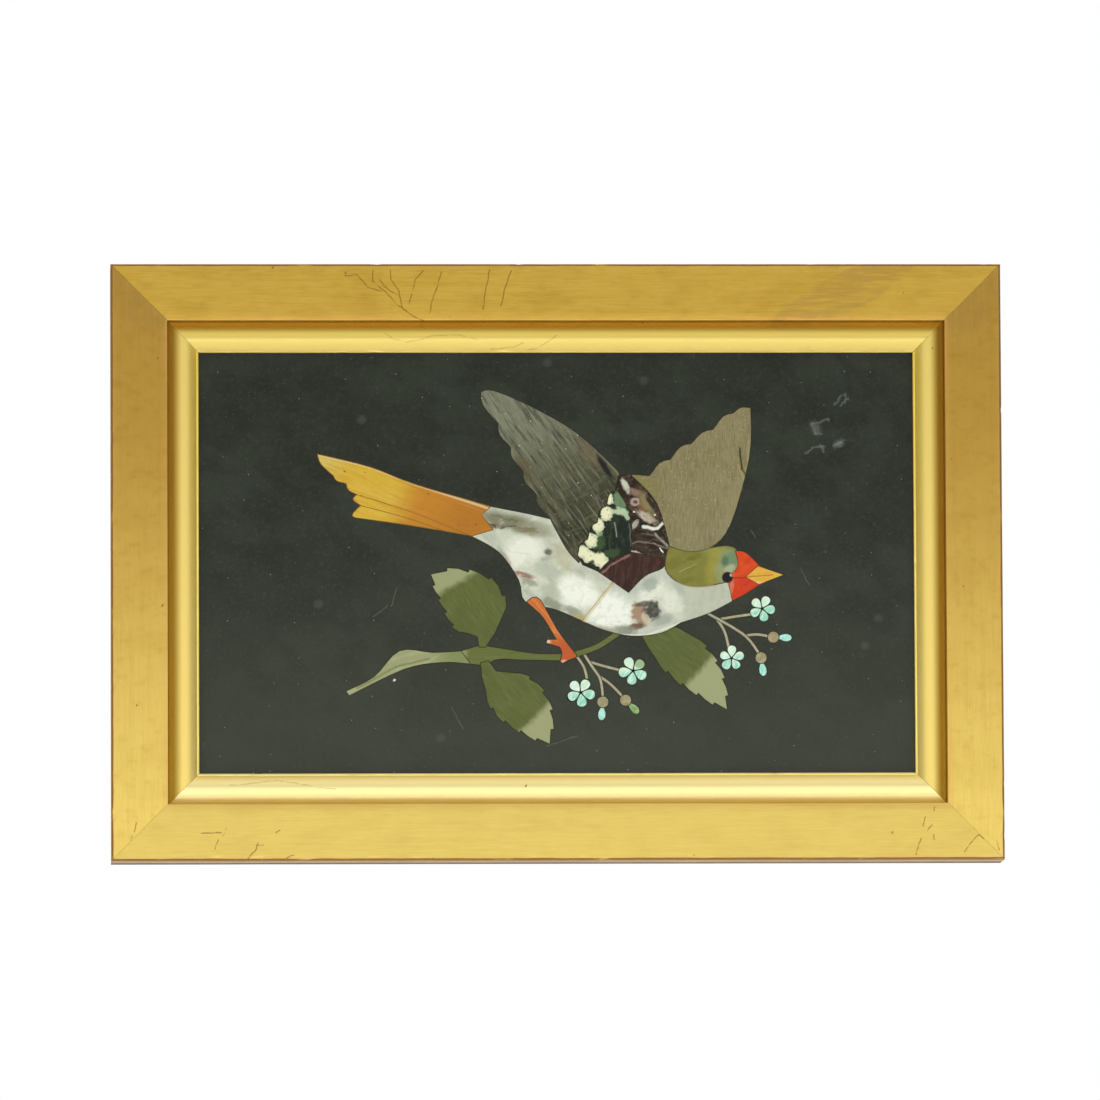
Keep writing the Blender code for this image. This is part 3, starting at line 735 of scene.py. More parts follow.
def rear_body_stone() -> StoneFinish:
    """Cloudy chalcedony with a grey rump, brown blotches and white clouds."""
    return StoneFinish("rear_body_stone", (186, 192, 172), (
        Streaks((210, 214, 193), 0.7, 0, 7, 6, 0.4, 0.62),
        Streaks((170, 177, 158), 0.45, -35, 13, 2.2, 0.5, 0.7),
        Patch((230, 233, 215), 1.0, (-12.0, 4.4), (7.6, 5.2), 25),
        Patch((240, 243, 227), 1.0, (7.5, -10.6), (8.0, 5.2), -25, 0.4, 0.7),
        Patch((222, 226, 206), 0.7, (-7.0, -7.6), (5.0, 3.0), -40, 0.5, 0.8),
        Patch((120, 119, 90), 0.9, (-17.5, 14.8), (12, 2.8), -17, 0.5, 1.1),
        Patch((158, 158, 132), 0.7, (-7, 12.4), (6, 2.4), -10, 0.5, 1.0),
        Patch((180, 185, 163), 0.85, (-2.6, -10.2), (4.2, 2.4), -30, 0.5, 1.0),
        Patch((112, 90, 68), 0.85, (-21.6, 13.3), (2.4, 0.9), -10, 0.4, 1.3),
        Line((74, 68, 50), 0.75, (-26.4, 15.2), (-20.6, 12.6), 0.5, 3.0),
        Line((84, 76, 56), 0.7, (-20.6, 12.6), (-14.4, 13.6), 0.45, 3.0),
        Line((96, 86, 62), 0.6, (-23.0, 17.0), (-14.0, 15.2), 0.4, 3.5),
        Line((112, 102, 74), 0.6, (-13.4, 12.6), (-6.4, 11.6), 0.5, 3.5),
        Patch((124, 114, 82), 0.7, (-9.8, 12.0), (3.0, 0.8), 8, 0.5, 1.3),
        Patch((92, 84, 72), 0.9, (-3.0, 4.0), (1.5, 1.1), -15, 0.5, 0.8),
        Patch((160, 158, 142), 0.5, (-3.4, 1.8), (3.0, 0.8), 10, 0.6, 0.9),
        Patch((146, 128, 102), 0.65, (-18.6, 1.4), (1.2, 4.2), 28, 0.5, 0.8),
        Patch((150, 118, 100), 0.95, (-13.0, -4.0), (5.0, 0.9), -14, 0.4, 1.0),
        Patch((206, 168, 140), 0.7, (-14.6, -5.2), (1.5, 1.1), 0, 0.5, 0.8),
        Patch((134, 138, 118), 0.75, (-10.2, -6.8), (3.0, 1.2), -20, 0.5, 1.0),
        Patch((130, 137, 116), 0.8, (-1.6, -14.8), (4.4, 1.9), -30, 0.45, 1.1),
        Patch((144, 150, 130), 0.8, (6.2, -17.8), (4.4, 1.5), -25, 0.45, 1.0),
        Patch((186, 168, 108), 0.85, (8.2, -20.6), (3.6, 1.8), -20, 0.45, 0.6),
        Patch((190, 184, 152), 0.6, (2.4, 2.0), (3.0, 5.6), 25, 0.5, 0.7),
        Veins((150, 150, 128), 0.14, 12.0, 0.03, 1.0),
        Streaks((240, 242, 228), 0.3, 30, 4, 3, 0.54, 0.7),
        Flecks((120, 116, 100), 0.35, 2.6, 0.1, 0.25),
        Line((200, 178, 120), 0.5, (20.2, -7.5), (9.8, -20.9), 0.8, 0.8),
    ), 0.24)


def breast_stone() -> StoneFinish:
    """White chalcedony with one brown and grey spot, creamier towards the neck."""
    return StoneFinish("breast_stone", (196, 202, 185), (
        Streaks((190, 198, 180), 0.6, 60, 9, 4, 0.45, 0.65),
        Beyond((188, 193, 170), 0.85, (45, -10), 0, 6, 4),
        Streaks((178, 184, 160), 0.5, 74, 5, 2.4, 0.46, 0.66),
        Patch((240, 243, 228), 1.0, (19.0, -17.6), (10.2, 7.2), -15, 0.4, 0.6),
        Patch(WHITE, 0.8, (34.0, -11.0), (6.0, 3.0), 40, 0.5, 0.7),
        Patch(WHITE, 0.7, (41.5, -14.5), (3.6, 5.6), 30, 0.5, 0.6),
        Patch((152, 161, 147), 0.75, (33.6, -7.8), (3.0, 2.4), 35, 0.5, 1.0),
        Patch((170, 178, 164), 0.6, (43.6, -7.6), (1.6, 5.2), 25, 0.5, 0.9),
        Patch((200, 172, 138), 0.6, (52.4, -8.4), (5.0, 0.8), 2, 0.5, 0.9),
        Patch((160, 132, 106), 0.95, (29.6, -18.4), (3.0, 4.2), 12, 0.3, 1.3),
        Patch((66, 62, 54), 0.95, (34.4, -17.0), (2.9, 3.6), -15, 0.3, 1.5),
        Patch((84, 74, 62), 0.8, (31.6, -14.6), (3.4, 0.9), 12, 0.4, 1.3),
        Patch((204, 186, 162), 0.85, (32.0, -20.2), (1.3, 2.2), 20, 0.35, 1.2),
        Patch((112, 86, 66), 0.95, (28.6, -23.0), (3.2, 1.2), 12, 0.4, 1.2),
        Patch((132, 138, 120), 0.9, (24.6, -24.4), (4.0, 1.9), -8, 0.5, 0.9),
        Patch((160, 155, 124), 0.85, (15.8, -24.4), (6.5, 1.9), -12, 0.5, 0.9),
        Patch((146, 152, 136), 0.6, (38.4, -20.6), (3.6, 1.8), 25, 0.5, 0.9),
        Veins((150, 152, 134), 0.12, 10.0, 0.03, 1.0),
        Streaks((170, 178, 164), 0.25, 20, 3, 2.2, 0.52, 0.68),
        Line((228, 226, 202), 0.8, (9.0, -21.4), (20.0, -26.0), 0.6),
        Line((228, 226, 202), 0.8, (20.0, -26.0), (32.0, -26.2), 0.6),
        Line((228, 226, 202), 0.8, (32.0, -26.2), (46.0, -21.2), 0.6),
        Line((200, 178, 120), 0.5, (20.2, -7.5), (9.8, -20.9), 0.8, 0.8),
    ), 0.22)


def left_wing_stone() -> StoneFinish:
    """Grey-green stone with long pale streaks, lighter at the tip and darker at the shoulder."""
    return StoneFinish("left_wing_stone", (94, 95, 73), (
        Beyond((130, 133, 112), 0.9, (-14, 38), 180 + WING_LEFT_TURN, 15, 6),
        Beyond((56, 58, 42), 0.95, (0, 24), WING_LEFT_TURN, 17, 8),
        Streaks((108, 104, 80), 0.45, WING_LEFT_TURN, 12, 3.6, 0.46, 0.66),
        Streaks((46, 48, 34), 0.6, WING_LEFT_TURN + 2, 10, 1.5, 0.5, 0.66),
        Streaks((142, 145, 122), 0.55, WING_LEFT_TURN + 3, 11, 0.8, 0.54, 0.7),
        Streaks((166, 168, 148), 0.35, WING_LEFT_TURN - 3, 5, 0.4, 0.58, 0.72),
        Streaks((112, 112, 88), 0.35, WING_LEFT_TURN + 80, 5, 1.2, 0.5, 0.7),
        Patch((116, 106, 82), 0.6, (12.0, 39.5), (5.5, 2.2), WING_LEFT_TURN, 0.5, 0.8),
        Patch((38, 36, 24), 0.95, (17.4, 34.8), (4.8, 1.0), -58, 0.4, 0.6),
        Patch((92, 80, 56), 0.6, (-11.6, 34.4), (4.5, 2.6), WING_LEFT_TURN, 0.5, 0.9),
        Line((128, 120, 96), 0.8, (16.0, 40.0), (22.4, 32.2), 0.8, 1.2),
        Flecks((216, 220, 206), 0.8, 4.4, 0.07, 0.3),
    ), 0.26)


def right_wing_stone() -> StoneFinish:
    """Olive-brown stone with an upright fibrous grain, bright specks and one dark crack."""
    return StoneFinish("right_wing_stone", (138, 130, 94), (
        Streaks((126, 118, 78), 0.6, WING_RIGHT_TURN, 16, 7, 0.42, 0.62),
        Streaks((156, 149, 114), 0.6, WING_RIGHT_TURN, 4, 0.5, 0.48, 0.66),
        Streaks((106, 99, 68), 0.55, WING_RIGHT_TURN + 4, 4.5, 0.5, 0.52, 0.68),
        Streaks((142, 124, 92), 0.4, WING_RIGHT_TURN, 3, 1.2, 0.5, 0.7),
        Patch((130, 125, 72), 0.6, (31.5, 28.6), (6.0, 3.0), -45, 0.5, 0.5),
        Patch((150, 142, 104), 0.5, (64, 20), (3.0, 12), -14, 0.5, 0.6),
        Flecks((188, 186, 150), 0.6, 1.1, 0.22, 0.3, WING_RIGHT_TURN, 1.6),
        Flecks((92, 84, 58), 0.45, 1.5, 0.2, 0.3, WING_RIGHT_TURN, 2.4),
        Line((54, 52, 36), 0.95, (66.2, 41.5), (67.2, 34.0), 0.55, 1.0),
        Line((70, 64, 42), 0.85, (67.2, 34.0), (69.4, 30.0), 0.45, 1.0),
        Line((178, 158, 104), 0.6, (65.6, 35.5), (68.0, 29.8), 0.5, 1.0),
        Line((160, 152, 116), 0.5, (69.6, 44.0), (69.0, 32.0), 0.8, 0.6),
    ), 0.34)


def green_shoulder_stone() -> StoneFinish:
    """Dark green stone with light green clouds and knobbly cream spots along its border."""
    knobs = (((19.3, 22.9), (1.3, 2.2)), ((18.2, 17.8), (2.2, 2.7)), ((15.2, 13.4), (2.2, 2.7)),
             ((12.5, 8.2), (2.3, 2.8)), ((9.6, 4.0), (2.4, 2.4)), ((12.0, 2.2), (2.6, 2.2)),
             ((15.6, 1.2), (2.9, 2.6)), ((17.6, -0.9), (2.2, 1.8)))
    return StoneFinish("green_shoulder_stone", (38, 46, 38), (
        Streaks((58, 72, 54), 0.7, 84, 6, 1.4, 0.48, 0.64),
        Patch((112, 138, 102), 0.9, (22.6, 22.2), (2.6, 4.0), -10, 0.4, 1.6),
        Patch((186, 206, 168), 0.9, (21.8, 18.8), (3.6, 1.2), -8, 0.3, 1.8),
        Patch((176, 198, 158), 0.9, (25.0, 17.4), (0.9, 2.2), 25, 0.3, 1.4),
        Patch((70, 92, 58), 0.8, (15.4, 7.4), (2.0, 2.6), 0, 0.4, 1.5),
        Patch((66, 84, 58), 0.8, (19.6, 3.6), (3.2, 1.6), 10, 0.4, 1.5),
        *(Patch((206, 210, 172), 1.0, centre, reach, 0, 0.12, 1.0) for centre, reach in knobs),
        *(Patch((234, 234, 194), 0.9, (x - 0.3, y + 0.2), (wide * 0.7, high * 0.7), 0, 0.2, 1.3)
          for (x, y), (wide, high) in knobs),
        Flecks((88, 84, 58), 0.9, 1.5, 0.2, 0.35),
        Patch((34, 40, 30), 0.95, (20.4, 20.4), (1.5, 1.0), -30, 0.3, 1.4),
        Patch((60, 58, 40), 0.9, (12.6, 0.2), (1.0, 0.8), 10, 0.3, 1.4),
        Patch((150, 170, 128), 0.8, (15.6, 10.4), (1.2, 0.8), 20, 0.4, 1.4),
        Line((150, 162, 146), 0.6, (20.9, 14.6), (21.7, 9.6), 0.4, 1.0),
        Line((120, 136, 116), 0.45, (26.4, 14.0), (26.7, 6.0), 0.35, 0.8),
    ), 0.22)


def veined_shoulder_stone() -> StoneFinish:
    """Dark purple-brown stone with curling white and pink veins and a few glints."""
    swoosh = ((31.4, 13.2), (34.6, 12.4), (36.4, 12.6), (38.6, 14.4))
    upper = ((24.6, 6.2), (29.4, 7.9), (35.4, 7.0), (40.4, 5.0))
    lower = ((24.8, 4.0), (28.4, 3.8), (33.6, 1.6), (39.4, 0.4))
    return StoneFinish("veined_shoulder_stone", (54, 46, 37), (
        Streaks((78, 62, 50), 0.7, -20, 6, 2, 0.48, 0.64),
        Streaks((30, 28, 24), 0.7, -15, 7, 1.2, 0.5, 0.64),
        Patch((146, 132, 92), 0.85, (32.4, 21.6), (4.6, 2.0), -58, 0.5, 1.4),
        Patch((40, 34, 26), 0.9, (34.2, 21.4), (3.4, 0.8), -58, 0.4, 0.9),
        Patch((204, 202, 184), 0.95, (25.0, 27.9), (2.7, 1.1), -63, 0.4, 1.1),
        Patch((150, 122, 106), 0.85, (28.4, 25.6), (1.9, 1.2), -30, 0.5, 1.3),
        Patch((188, 164, 150), 0.9, (28.4, 22.1), (1.7, 1.5), 0, 0.3, 0.7),
        Patch((92, 74, 66), 0.95, (28.5, 22.1), (0.9, 0.7), 0, 0.4, 0.5),
        Patch((128, 92, 66), 0.8, (30.6, 19.6), (1.6, 1.0), -40, 0.5, 1.2),
        Patch((196, 184, 162), 0.9, (32.4, 16.6), (3.8, 1.4), -28, 0.45, 1.6),
        Patch((178, 172, 156), 0.9, (28.3, 14.0), (1.9, 0.9), 55, 0.4, 1.1),
        Patch((36, 32, 26), 0.9, (31.2, 13.9), (1.6, 0.7), 10, 0.4, 1.0),
        *(Line((232, 230, 214), 0.95, start, end, 0.9, 1.2) for start, end in zip(swoosh, swoosh[1:])),
        Line((112, 116, 100), 0.6, (30.6, 10.6), (38.4, 9.4), 0.5, 2.6),
        Line((166, 170, 154), 0.7, (35.6, 10.6), (40.6, 5.6), 0.7, 2.0),
        *(Line((140, 126, 114), 0.7, start, end, 0.4, 1.8) for start, end in zip(upper, upper[1:])),
        *(Line((196, 180, 164), 0.85, start, end, 0.75, 1.4) for start, end in zip(lower, lower[1:])),
        Veins((120, 108, 90), 0.35, 4.2, 0.03, 1.0),
        Patch((244, 246, 242), 1.0, (38.0, 4.3), (0.25, 0.8), 40, 0.3, 0.3),
        Patch((244, 246, 242), 0.9, (37.4, 5.2), (0.2, 0.5), 40, 0.3, 0.3),
        Patch((240, 236, 206), 0.9, (28.0, 18.5), (0.4, 0.3), 0, 0.3, 0.3),
        Patch((240, 236, 206), 0.9, (35.5, 17.4), (0.35, 0.35), 0, 0.3, 0.3),
    ), 0.16)


def maroon_shoulder_stone() -> StoneFinish:
    """Dark maroon stone with a light vein near its upper left edge."""
    vein = ((16.4, -3.6), (20.5, -0.2), (26.4, 2.8))
    return StoneFinish("maroon_shoulder_stone", (66, 46, 40), (
        Streaks((84, 62, 53), 0.6, 80, 5, 1.8, 0.46, 0.62),
        Streaks((44, 33, 30), 0.6, 84, 6, 0.9, 0.5, 0.64),
        *(Line((150, 118, 106), 0.7, start, end, 0.6, 1.6) for start, end in zip(vein, vein[1:])),
        Flecks((112, 84, 76), 0.5, 2.2, 0.12, 0.3),
    ), 0.2)


def nape_stone() -> StoneFinish:
    """Olive stone with an amber band and a pale grey-green patch before the eye."""
    return StoneFinish("nape_stone", (130, 128, 62), (
        Streaks((112, 112, 50), 0.6, 20, 7, 3, 0.44, 0.62),
        Patch((144, 150, 80), 0.75, (59.5, 3.6), (6.5, 2.0), -10, 0.6, 0.5),
        Patch((158, 150, 66), 0.75, (56.4, -1.4), (2.2, 6.8), -10, 0.7, 0.7),
        Patch((148, 156, 114), 0.9, (60.6, -2.4), (3.0, 6.2), -10, 0.6, 0.8),
        Patch((112, 138, 104), 0.9, (63.0, 1.4), (3.6, 2.6), 25, 0.5, 0.9),
        Patch((84, 108, 86), 0.8, (60.8, 0.6), (1.2, 1.8), 0, 0.5, 0.9),
        Patch((172, 182, 150), 0.75, (62.6, -2.0), (2.2, 1.3), 20, 0.5, 0.8),
        Line((182, 180, 110), 0.5, (44.2, -3.2), (50.6, -0.4), 0.3, 1.0),
        Patch((104, 96, 40), 0.5, (48.6, 1.6), (1.6, 0.8), 0, 0.5, 0.8),
    ), 0.26)


def red_stone(name: str, ground: Colour, pale: Place) -> StoneFinish:
    """Orange-red stone, paler at one edge.

    Args:
        name: the material's name.
        ground: the stone's main colour.
        pale: where it is paler.
    """
    return StoneFinish(name, ground, (
        Streaks((222, 90, 40), 0.5, 40, 3, 1.6, 0.46, 0.66),
        Streaks((184, 52, 24), 0.5, 30, 4, 2.0, 0.5, 0.68),
        Patch((214, 128, 98), 0.7, pale, (0.9, 2.6), -10, 0.6, 0.6),
    ), 0.22)


def leaf_stone(name: str, tip: Place, turn: float, ground: Colour = LEAF,
               pale: Colour = PALE_LEAF) -> StoneFinish:
    """Olive-green stone that turns pale towards a leaf's tip.

    Args:
        name: the material's name.
        tip: a place on the line where the pale tip begins.
        turn: the direction towards the tip, in degrees.
        ground: colour of the leaf.
        pale: colour of its tip.
    """
    return StoneFinish(name, ground, (
        Streaks((104, 112, 62), 0.45, turn, 9, 3.5, 0.44, 0.62),
        Streaks((82, 88, 48), 0.35, turn + 8, 9, 1.1, 0.5, 0.7),
        Beyond(pale, 0.95, tip, turn, 1.5, 3.0),
        Streaks((190, 188, 148), 0.07, turn, 6, 0.5, 0.52, 0.68),
    ), 0.32)


def stone_finishes() -> dict[str, StoneFinish]:
    """The finish of every inlaid stone that keeps its CAD solid, by node."""
    tail = tail_stone()
    beak = StoneFinish("beak_stone", (222, 176, 72), (
        Beyond((234, 202, 120), 0.8, (70, -6.2), -100, 0.8, 0.6),
        Streaks((202, 148, 52), 0.5, 5, 7, 0.8, 0.48, 0.66),
        Line((186, 118, 40), 0.85, (66.5, -5.2), (78.0, -4.3), 0.4, 0.4)), 0.24)
    eye = StoneFinish("eye_stone", (20, 22, 20), (
        Patch((206, 190, 176), 0.9, (62.9, -4.4), (0.45, 0.55), 30, 0.5, 0.3),), 0.12)
    leg = StoneFinish("leg_stone", (198, 112, 58), (
        Streaks((216, 138, 78), 0.6, -52, 6, 1.0, 0.46, 0.64),
        Beyond((188, 88, 50), 0.85, (0.5, -27.5), -60, 3.5, 1.5),
        Patch((230, 182, 150), 0.85, (2.2, -36.0), (1.5, 0.9), 20, 0.5, 0.5),
        Patch((226, 204, 168), 0.85, (-3.6, -28.3), (1.3, 0.9), 0, 0.5, 0.4),
        Flecks((120, 74, 40), 0.5, 1.3, 0.2, 0.3)), 0.3)
    branch_end = StoneFinish("branch_end_stone", (154, 158, 114), (
        Streaks((172, 175, 134), 0.6, 25, 10, 2, 0.45, 0.62),
        Line((124, 130, 84), 0.8, (-72, -45), (-58, -37.4), 0.7, 0.8),
        Line((124, 130, 84), 0.8, (-58, -37.4), (-46, -34.6), 0.7, 0.8),
        Beyond((124, 132, 84), 0.8, (-42, -34), 0, 5, 1.5)), 0.34)
    stem = leaf_stone("stem_stone", (-33, -33), 180, (102, 110, 60), (150, 152, 100))
    twig = StoneFinish("twig_stone", (166, 162, 132), (
        Streaks((190, 186, 158), 0.6, -50, 3, 1.2, 0.46, 0.62),
        Flecks((120, 116, 88), 0.5, 1.0, 0.25, 0.3)), 0.34)
    calyx = StoneFinish("calyx_stone", (152, 143, 108), (
        Streaks((180, 172, 136), 0.6, 30, 1.6, 0.8, 0.45, 0.62),
        Flecks((104, 92, 64), 0.7, 0.8, 0.3, 0.35)), 0.34)
    turquoise = StoneFinish("bud_stone", (160, 224, 206), (
        Streaks((206, 240, 228), 0.7, 70, 1.8, 1.0, 0.44, 0.62),
        Streaks((104, 186, 176), 0.5, 60, 1.6, 0.7, 0.52, 0.68)), 0.22)
    green_bud = StoneFinish("green_bud_stone", (124, 158, 100), (
        Streaks((168, 196, 140), 0.7, -40, 2.0, 1.0, 0.42, 0.6),
        Flecks((80, 108, 64), 0.6, 0.8, 0.3, 0.4)), 0.22)
    finishes = {
        "tail_feather_upper": tail, "tail_feather_middle": tail, "tail_feather_lower": tail,
        "body_rear": rear_body_stone(), "breast": breast_stone(),
        "wing_left": left_wing_stone(), "wing_right": right_wing_stone(),
        "shoulder_green": green_shoulder_stone(), "shoulder_veined": veined_shoulder_stone(),
        "shoulder_maroon": maroon_shoulder_stone(), "nape": nape_stone(),
        "face_upper": red_stone("face_upper_stone", (212, 76, 34), (63.4, -2.6)),
        "face_lower": red_stone("face_lower_stone", (204, 64, 29), (62.9, -8.6)),
        "beak": beak, "eye": eye, "leg": leg,
        "branch_end": branch_end, "branch_stem": stem, "branch_far": stem,
        "leaf_upper": leaf_stone("upper_leaf_stone", (-36.0, -7.4), 121, pale=(157, 162, 118)),
        "leaf_lower": leaf_stone("lower_leaf_stone", (-7.6, -55.0), -45),
        "leaf_right": leaf_stone("right_leaf_stone", (51.6, -38.6), -42, (92, 101, 55), (160, 165, 122)),
    }
    finishes |= {f"twig_{number}": twig for number in range(1, 9)}
    finishes |= {f"calyx_{number}": calyx for number in range(1, 5)}
    finishes |= {f"bud_{number}": green_bud if number == 2 else turquoise for number in range(1, 5)}
    return finishes


def marble_finish() -> StoneFinish:
    """Greenish black marble with fine specks, smudges and scratches, lighter towards the bottom partly with
    dust and partly with painted sheen.
    """
    smears = (((100.4, 57.7), (103.3, 60.3)), ((102.8, 56.9), (105.7, 59.3)), ((104.3, 60.9), (104.9, 57.7)),
              ((92.1, 50.5), (98.3, 52.0)), ((92.1, 50.5), (93.2, 47.5)), ((93.2, 47.5), (96.1, 46.6)),
              ((90.4, 39.8), (92.1, 41.9)), ((92.1, 41.9), (96.4, 42.1)), ((95.3, 42.8), (96.2, 40.6)),
              ((99.8, 42.1), (103.7, 44.1)))
    spots = ((-85.9, -14.7), (-3.0, 72.5), (-42, -63), (31.7, 66.0), (-70, 52), (116, -20), (111, -30))
    scratches = (((-57.6, -9.4), (-59.6, -15.6)), ((-61.0, -15.4), (-66.0, -19.4)),
                 ((-4.0, -66.0), (7.0, -62.4)), ((-38, -52), (-34, -60)), ((88, -2), (91, -8)),
                 ((70, 12), (72, 9)))
    return StoneFinish("black_marble", (50, 54, 46), (
        Streaks((60, 65, 56), 0.6, 15, 34, 22, 0.4, 0.65),
        Streaks((43, 47, 40), 0.5, -30, 14, 9, 0.45, 0.65),
        Streaks((70, 74, 64), 0.25, 40, 1.4, 1.1, 0.5, 0.7),
        # Lighter towards the bottom: partly dust, partly painted sheen of the light reflected from in front.
        Beyond((66, 69, 57), 0.6, (0, -30), -90, 45, 6),
        Flecks((120, 126, 116), 0.55, 2.6, 0.07, 0.4),
        Flecks((190, 194, 184), 0.7, 9.0, 0.024, 0.4),
        *(Line((118, 124, 116), 0.4, start, end, 0.6, 3.2) for start, end in smears),
        Patch((130, 136, 128), 0.5, (102.2, 43.2), (1.6, 1.1), 30, 0.9, 2.2),
        Patch((108, 114, 106), 0.5, (93.8, 48.8), (1.5, 2.0), 20, 0.9, 2.2),
        *(Patch((84, 89, 80), 0.4, spot, (1.5, 1.4), 0, 0.6, 1.2) for spot in spots),
        *(Line((124, 128, 118), 0.4, start, end, 0.2, 1.2) for start, end in scratches),
        Patch((214, 216, 206), 0.95, (-58.6, -42.2), (0.55, 0.4), 30, 0.4, 0.5),
    ), 0.2, (92, 93, 86))


# Gold leaf and wood

@dataclass(frozen=True)
class GiltFinish:
    """Gold leaf over reddish-brown bole, worn along the arrises, with fine cracks, and with painted light:
    leaf that pales towards the bottom and bands of painted highlight and shade.
    """

    name: str
    leaf: Colour
    low_leaf: Colour              # painted light: the leaf shows paler towards the bottom of the frame, where more light falls
    roughness: float
    upright_roughness: float
    grain: float                  # how much the brushed grain along the rail shows
    wear: float                   # how much of an arris is rubbed through
    crack: float
    cracks: tuple[tuple[Place, ...], ...] = ()
    lap_zones: tuple[tuple[Place, Place], ...] = ()
    mottle: float = 0.0           # how much small blotches show
    worn_edges: tuple[float, float] | None = None     # where a reddish band begins at each edge
    bands: tuple[tuple[float, float, Colour], ...] = ()     # painted highlights and shade across a slip's roll: begin, end and colour of each band, inner first
    painted_light_span: tuple[float, float] = (70, -112)     # heights between which the painted light pales the leaf
    grain_tint: tuple[float, ...] = (0.76, 0.68, 0.5, 1)
    bole: Colour = (128, 86, 38)
    lap: Colour = (176, 140, 74)
    worn: Colour = (224, 172, 96)

    def material(self, kit: MaskKit) -> bpy.types.Material:
        """Build the gilding's material from the shared mask groups."""
        material, sheet, shader = new_material(self.name)
        tree = sheet.tree
        place = sheet.use(kit.picture, {}).outputs["Place"]
        rail = sheet.use(kit.rails, {"Place": place}).outputs
        fine = self.streaks(sheet, kit, rail["Run"], 7, 0.34, 0.34, 0.7, 1)
        broad = self.streaks(sheet, kit, rail["Run"], 40, 1.6, 0.46, 0.7, 2)
        clouds = self.streaks(sheet, kit, place, 15, 9, 0.42, 0.66, 4)
        # Painted light: the leaf turns paler towards the bottom of the frame, where more light falls on it.
        height = sheet.add("ShaderNodeSeparateXYZ", {0: place}).outputs["Y"]
        low = sheet.step(height, *self.painted_light_span)
        colour = sheet.blend(low, metal(self.leaf), metal(self.low_leaf))
        blotches = self.streaks(sheet, kit, place, 4.5, 3.2, 0.5, 0.7, 8)
        for mask, amount in ((fine, self.grain * 0.55), (broad, self.grain * 0.35),
                             (clouds, self.grain * 0.5), (blotches, self.mottle)):
            colour = sheet.shade(sheet.math("MULTIPLY", mask, amount), colour, self.grain_tint)
        if self.worn_edges:
            inner, outer = self.worn_edges
            near = sheet.math("MAXIMUM", sheet.step(rail["Out"], inner + 3.0, inner),
                              sheet.step(rail["Out"], outer - 2.4, outer))
            near = sheet.math("MULTIPLY", near, sheet.scaled(broad, 0.2, 0.6))
            colour = sheet.blend(near, colour, metal(self.worn))
        # Painted highlights and shade: paler leaf where the roll catches the light, darker leaf where the
        # outer rail's step shades it.
        for begins, ends, tint in self.bands:
            colour = sheet.blend(sheet.step(rail["Out"], begins, ends), colour, metal(tint))
        laps = sheet.math("MULTIPLY", self.zones(sheet, kit, place, self.lap_zones),
                          self.streaks(sheet, kit, rail["Run"], 10, 1.2, 0.3, 0.62, 6))
        colour = sheet.blend(sheet.math("MULTIPLY", laps, 0.5), colour, metal(self.lap))

        arris = sheet.add("ShaderNodeAttribute", attribute_name="arris").outputs["Fac"]
        rub = self.streaks(sheet, kit, rail["Run"], 9, 1.4, 0, 1, 5)
        rubbed = sheet.step(sheet.math("ADD", arris, sheet.math("MULTIPLY", rub, 0.9)), 1.08, 1.34)
        rubbed = sheet.math("MULTIPLY", rubbed, self.wear)
        nicks = sheet.use(kit.flecks, {"Place": place, "Spacing": 24.0, "Size": 0.02, "Share": 0.5,
                                       "Stretch": 1.8, "Turn": 1.1}).outputs["Mask"]
        cracks = sheet.math("MULTIPLY", self.crack_mask(sheet, kit, place), self.crack)
        bare = sheet.math("MAXIMUM", rubbed, sheet.math("MULTIPLY", nicks, 0.8))
        colour = sheet.blend(sheet.math("MAXIMUM", bare, cracks), colour, paint(self.bole, 0))

        tree.links.new(colour, shader.inputs["Base Color"])
        tree.links.new(sheet.scaled(bare, 1.0, 0.4), shader.inputs["Metallic"])
        upright = sheet.scaled(rail["Upright"], self.roughness, self.upright_roughness)
        rough = sheet.math("ADD", upright, sheet.math("MULTIPLY", fine, 0.06))
        rough = sheet.math("ADD", rough, sheet.math("MULTIPLY", bare, 0.2))
        tree.links.new(rough, shader.inputs["Roughness"])
        height = sheet.math("SUBTRACT", sheet.math("MULTIPLY", fine, self.grain * 0.4),
                            sheet.math("MAXIMUM", cracks, sheet.math("MULTIPLY", bare, 0.3)))
        bump = sheet.add("ShaderNodeBump", {"Height": height, "Strength": 0.6, "Distance": 0.00006})
        tree.links.new(bump.outputs[0], shader.inputs["Normal"])
        return material

    @staticmethod
    def streaks(sheet: NodeSheet, kit: MaskKit, place: Feed, long: float, fine: float, low: float,
                high: float, seed: float) -> bpy.types.NodeSocket:
        """A mask of streaks along the first axis of a place."""
        return sheet.use(kit.streaks, {"Place": place, "Long": long, "Fine": fine, "Low": low,
                                       "High": high, "Seed": seed}).outputs["Mask"]

    @staticmethod
    def zones(sheet: NodeSheet, kit: MaskKit, place: Feed,
              ovals: tuple[tuple[Place, Place], ...]) -> bpy.types.NodeSocket | float:
        """Where any of some ovals lies, as one mask."""
        mask = 0.0
        for seed, (centre, reach) in enumerate(ovals):
            oval = sheet.use(kit.patch, {"Place": place, "Centre": (*centre, 0), "Reach": (*reach, 1),
                                         "Turn": 0.55, "Soft": 0.12, "Ragged Size": 8.0,
                                         "Seed": float(seed)}).outputs["Mask"]
            mask = sheet.math("MAXIMUM", mask, oval)
        return mask

